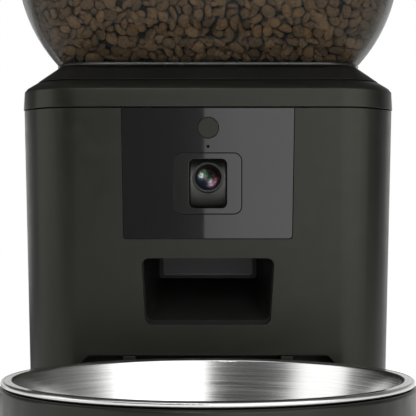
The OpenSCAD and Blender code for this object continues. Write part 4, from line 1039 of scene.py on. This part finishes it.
def bent_card(name, low, top, stops):
    """A card bent all round the part between two heights, from pairs of azimuth and glow."""
    turns, glows = zip(*stops)
    places = sorted(set(turns) | set(range(round(turns[0]), round(turns[-1]), CARD_STEP)))
    points = []
    for place in places:
        x = CARD_REACH * math.sin(math.radians(place))
        y = -CARD_REACH * math.cos(math.radians(place))
        points += [(x, y, low), (x, y, top)]
    faces = [(2 * i, 2 * i + 2, 2 * i + 3, 2 * i + 1) for i in range(len(places) - 1)]
    card(name, points, faces, np.repeat(np.interp(places, turns, glows), 2))


def add_cards():
    """Bright and dark cards that the gloss and the steel mirror."""
    low_glows = BACK_LEFT + LEFT_LOW + DIM_FRONT + RIGHT_LIGHTS + BACK_RIGHT
    middle_glows = SHADY_LEFT + LEFT_MIDDLE + DARK_FRONT + RIGHT_LIGHTS + GREY_RIGHT
    bent_card("cards_low", 0, CARD_LOW, low_glows)
    bent_card("cards_middle", CARD_LOW, CARD_TOP, middle_glows)
    bent_card("cards_high", CARD_TOP, CEILING, [(-180, DARK), (180, DARK)])
    card("ceiling_front", level(*CEILING_FRONT, CEILING), SQUARE, [CEILING_GLOW] * 4)
    card("ceiling_back", level(*CEILING_BACK, CEILING), SQUARE, [DARK] * 4)
    card("floor_front", level(*FRONT_CARD, FLOOR_CARD), SQUARE, FRONT_GLOWS)
    card("floor_left", level(*LEFT_CARD, FLOOR_CARD), SQUARE, [DARK] * 4)
    corners = [from_lens(azimuth, rise) for azimuth, rise in LENS_LIGHT]
    card("lens_light", corners, SQUARE, [LENS_LIGHT_GLOW] * 4)


def add_lamps():
    """Soft lamps that gloss doesn't show."""
    for name, place, size, power in LAMPS:
        data = bpy.data.lights.new(name, "AREA")
        data.shape = "SQUARE"
        data.size = size
        data.energy = power
        lamp = bpy.data.objects.new(name, data)
        lamp.location = place
        way = Vector(LAMP_TARGET) - Vector(place)
        lamp.rotation_euler = way.to_track_quat("-Z", "Y").to_euler()
        lamp.visible_glossy = False
        scene.collection.objects.link(lamp)


def seen_directly(tree):
    """A value of 1 for rays from the camera, off gloss and through clear pieces."""
    path = add(tree, "ShaderNodeLightPath")
    first = add(tree, "ShaderNodeMath", operation="MAXIMUM")
    join(tree, path, "Is Camera Ray", first, 0)
    join(tree, path, "Is Glossy Ray", first, 1)
    both = add(tree, "ShaderNodeMath", operation="MAXIMUM")
    join(tree, first, "Value", both, 0)
    join(tree, path, "Is Transmission Ray", both, 1)
    return both


def add_world():
    """Soft grey light all round, and white for the camera, gloss and clear pieces."""
    world = bpy.data.worlds.new("studio")
    scene.world = world
    world.use_nodes = True
    tree = world.node_tree
    tree.nodes.clear()
    light = add(tree, "ShaderNodeBackground", {"Color": PLAIN_WHITE, "Strength": WORLD_LIGHT})
    white = add(tree, "ShaderNodeBackground", {"Color": PLAIN_WHITE, "Strength": 1.0})
    out = add(tree, "ShaderNodeOutputWorld")
    join(tree, mixed(tree, seen_directly(tree), light, white), 0, out, "Surface")


def add_floor():
    """A pale floor that keeps the shadow and runs out to white."""
    mesh = bpy.data.meshes.new("floor")
    mesh.from_pydata(level(-FLOOR_REACH, FLOOR_REACH, -FLOOR_REACH, FLOOR_REACH, 0.0), [], SQUARE)
    floor = bpy.data.objects.new("floor", mesh)
    scene.collection.objects.link(floor)
    material, tree, shader = new_finish("floor", Base_Color=(0.9, 0.9, 0.89, 1), Roughness=0.9)
    shine = add(tree, "ShaderNodeEmission", {"Color": PLAIN_WHITE, "Strength": FLOOR_WHITE})
    share = add(tree, "ShaderNodeMath", {1: FLOOR_SHARE}, operation="MULTIPLY")
    join(tree, seen_directly(tree), "Value", share, 0)
    join(tree, mixed(tree, share, shader, shine), 0, tree.nodes["Material Output"], "Surface")
    mesh.materials.append(material)


def add_camera():
    """The camera at the photograph's place."""
    data = bpy.data.cameras.new("camera")
    data.lens = CAMERA_FOCAL
    data.sensor_width = CAMERA_SENSOR
    data.shift_y = CAMERA_SHIFT
    data.clip_end = CAMERA_FAR
    camera = bpy.data.objects.new("camera", data)
    camera.location = (0, BODY_Y - CAMERA_AWAY, CAMERA_Z)
    camera.rotation_euler = (math.pi / 2, 0, 0)
    scene.collection.objects.link(camera)
    scene.camera = camera


def main():
    """Paints the solids, adds the pieces, and sets the stage."""
    paint_solids()
    for node, radius in SOFT_EDGES.items():
        softened(node, radius)
    fill_tank()
    add_lens()
    add_cards()
    add_lamps()
    add_world()
    add_floor()
    add_camera()
    scene.view_settings.view_transform = "Standard"


main()
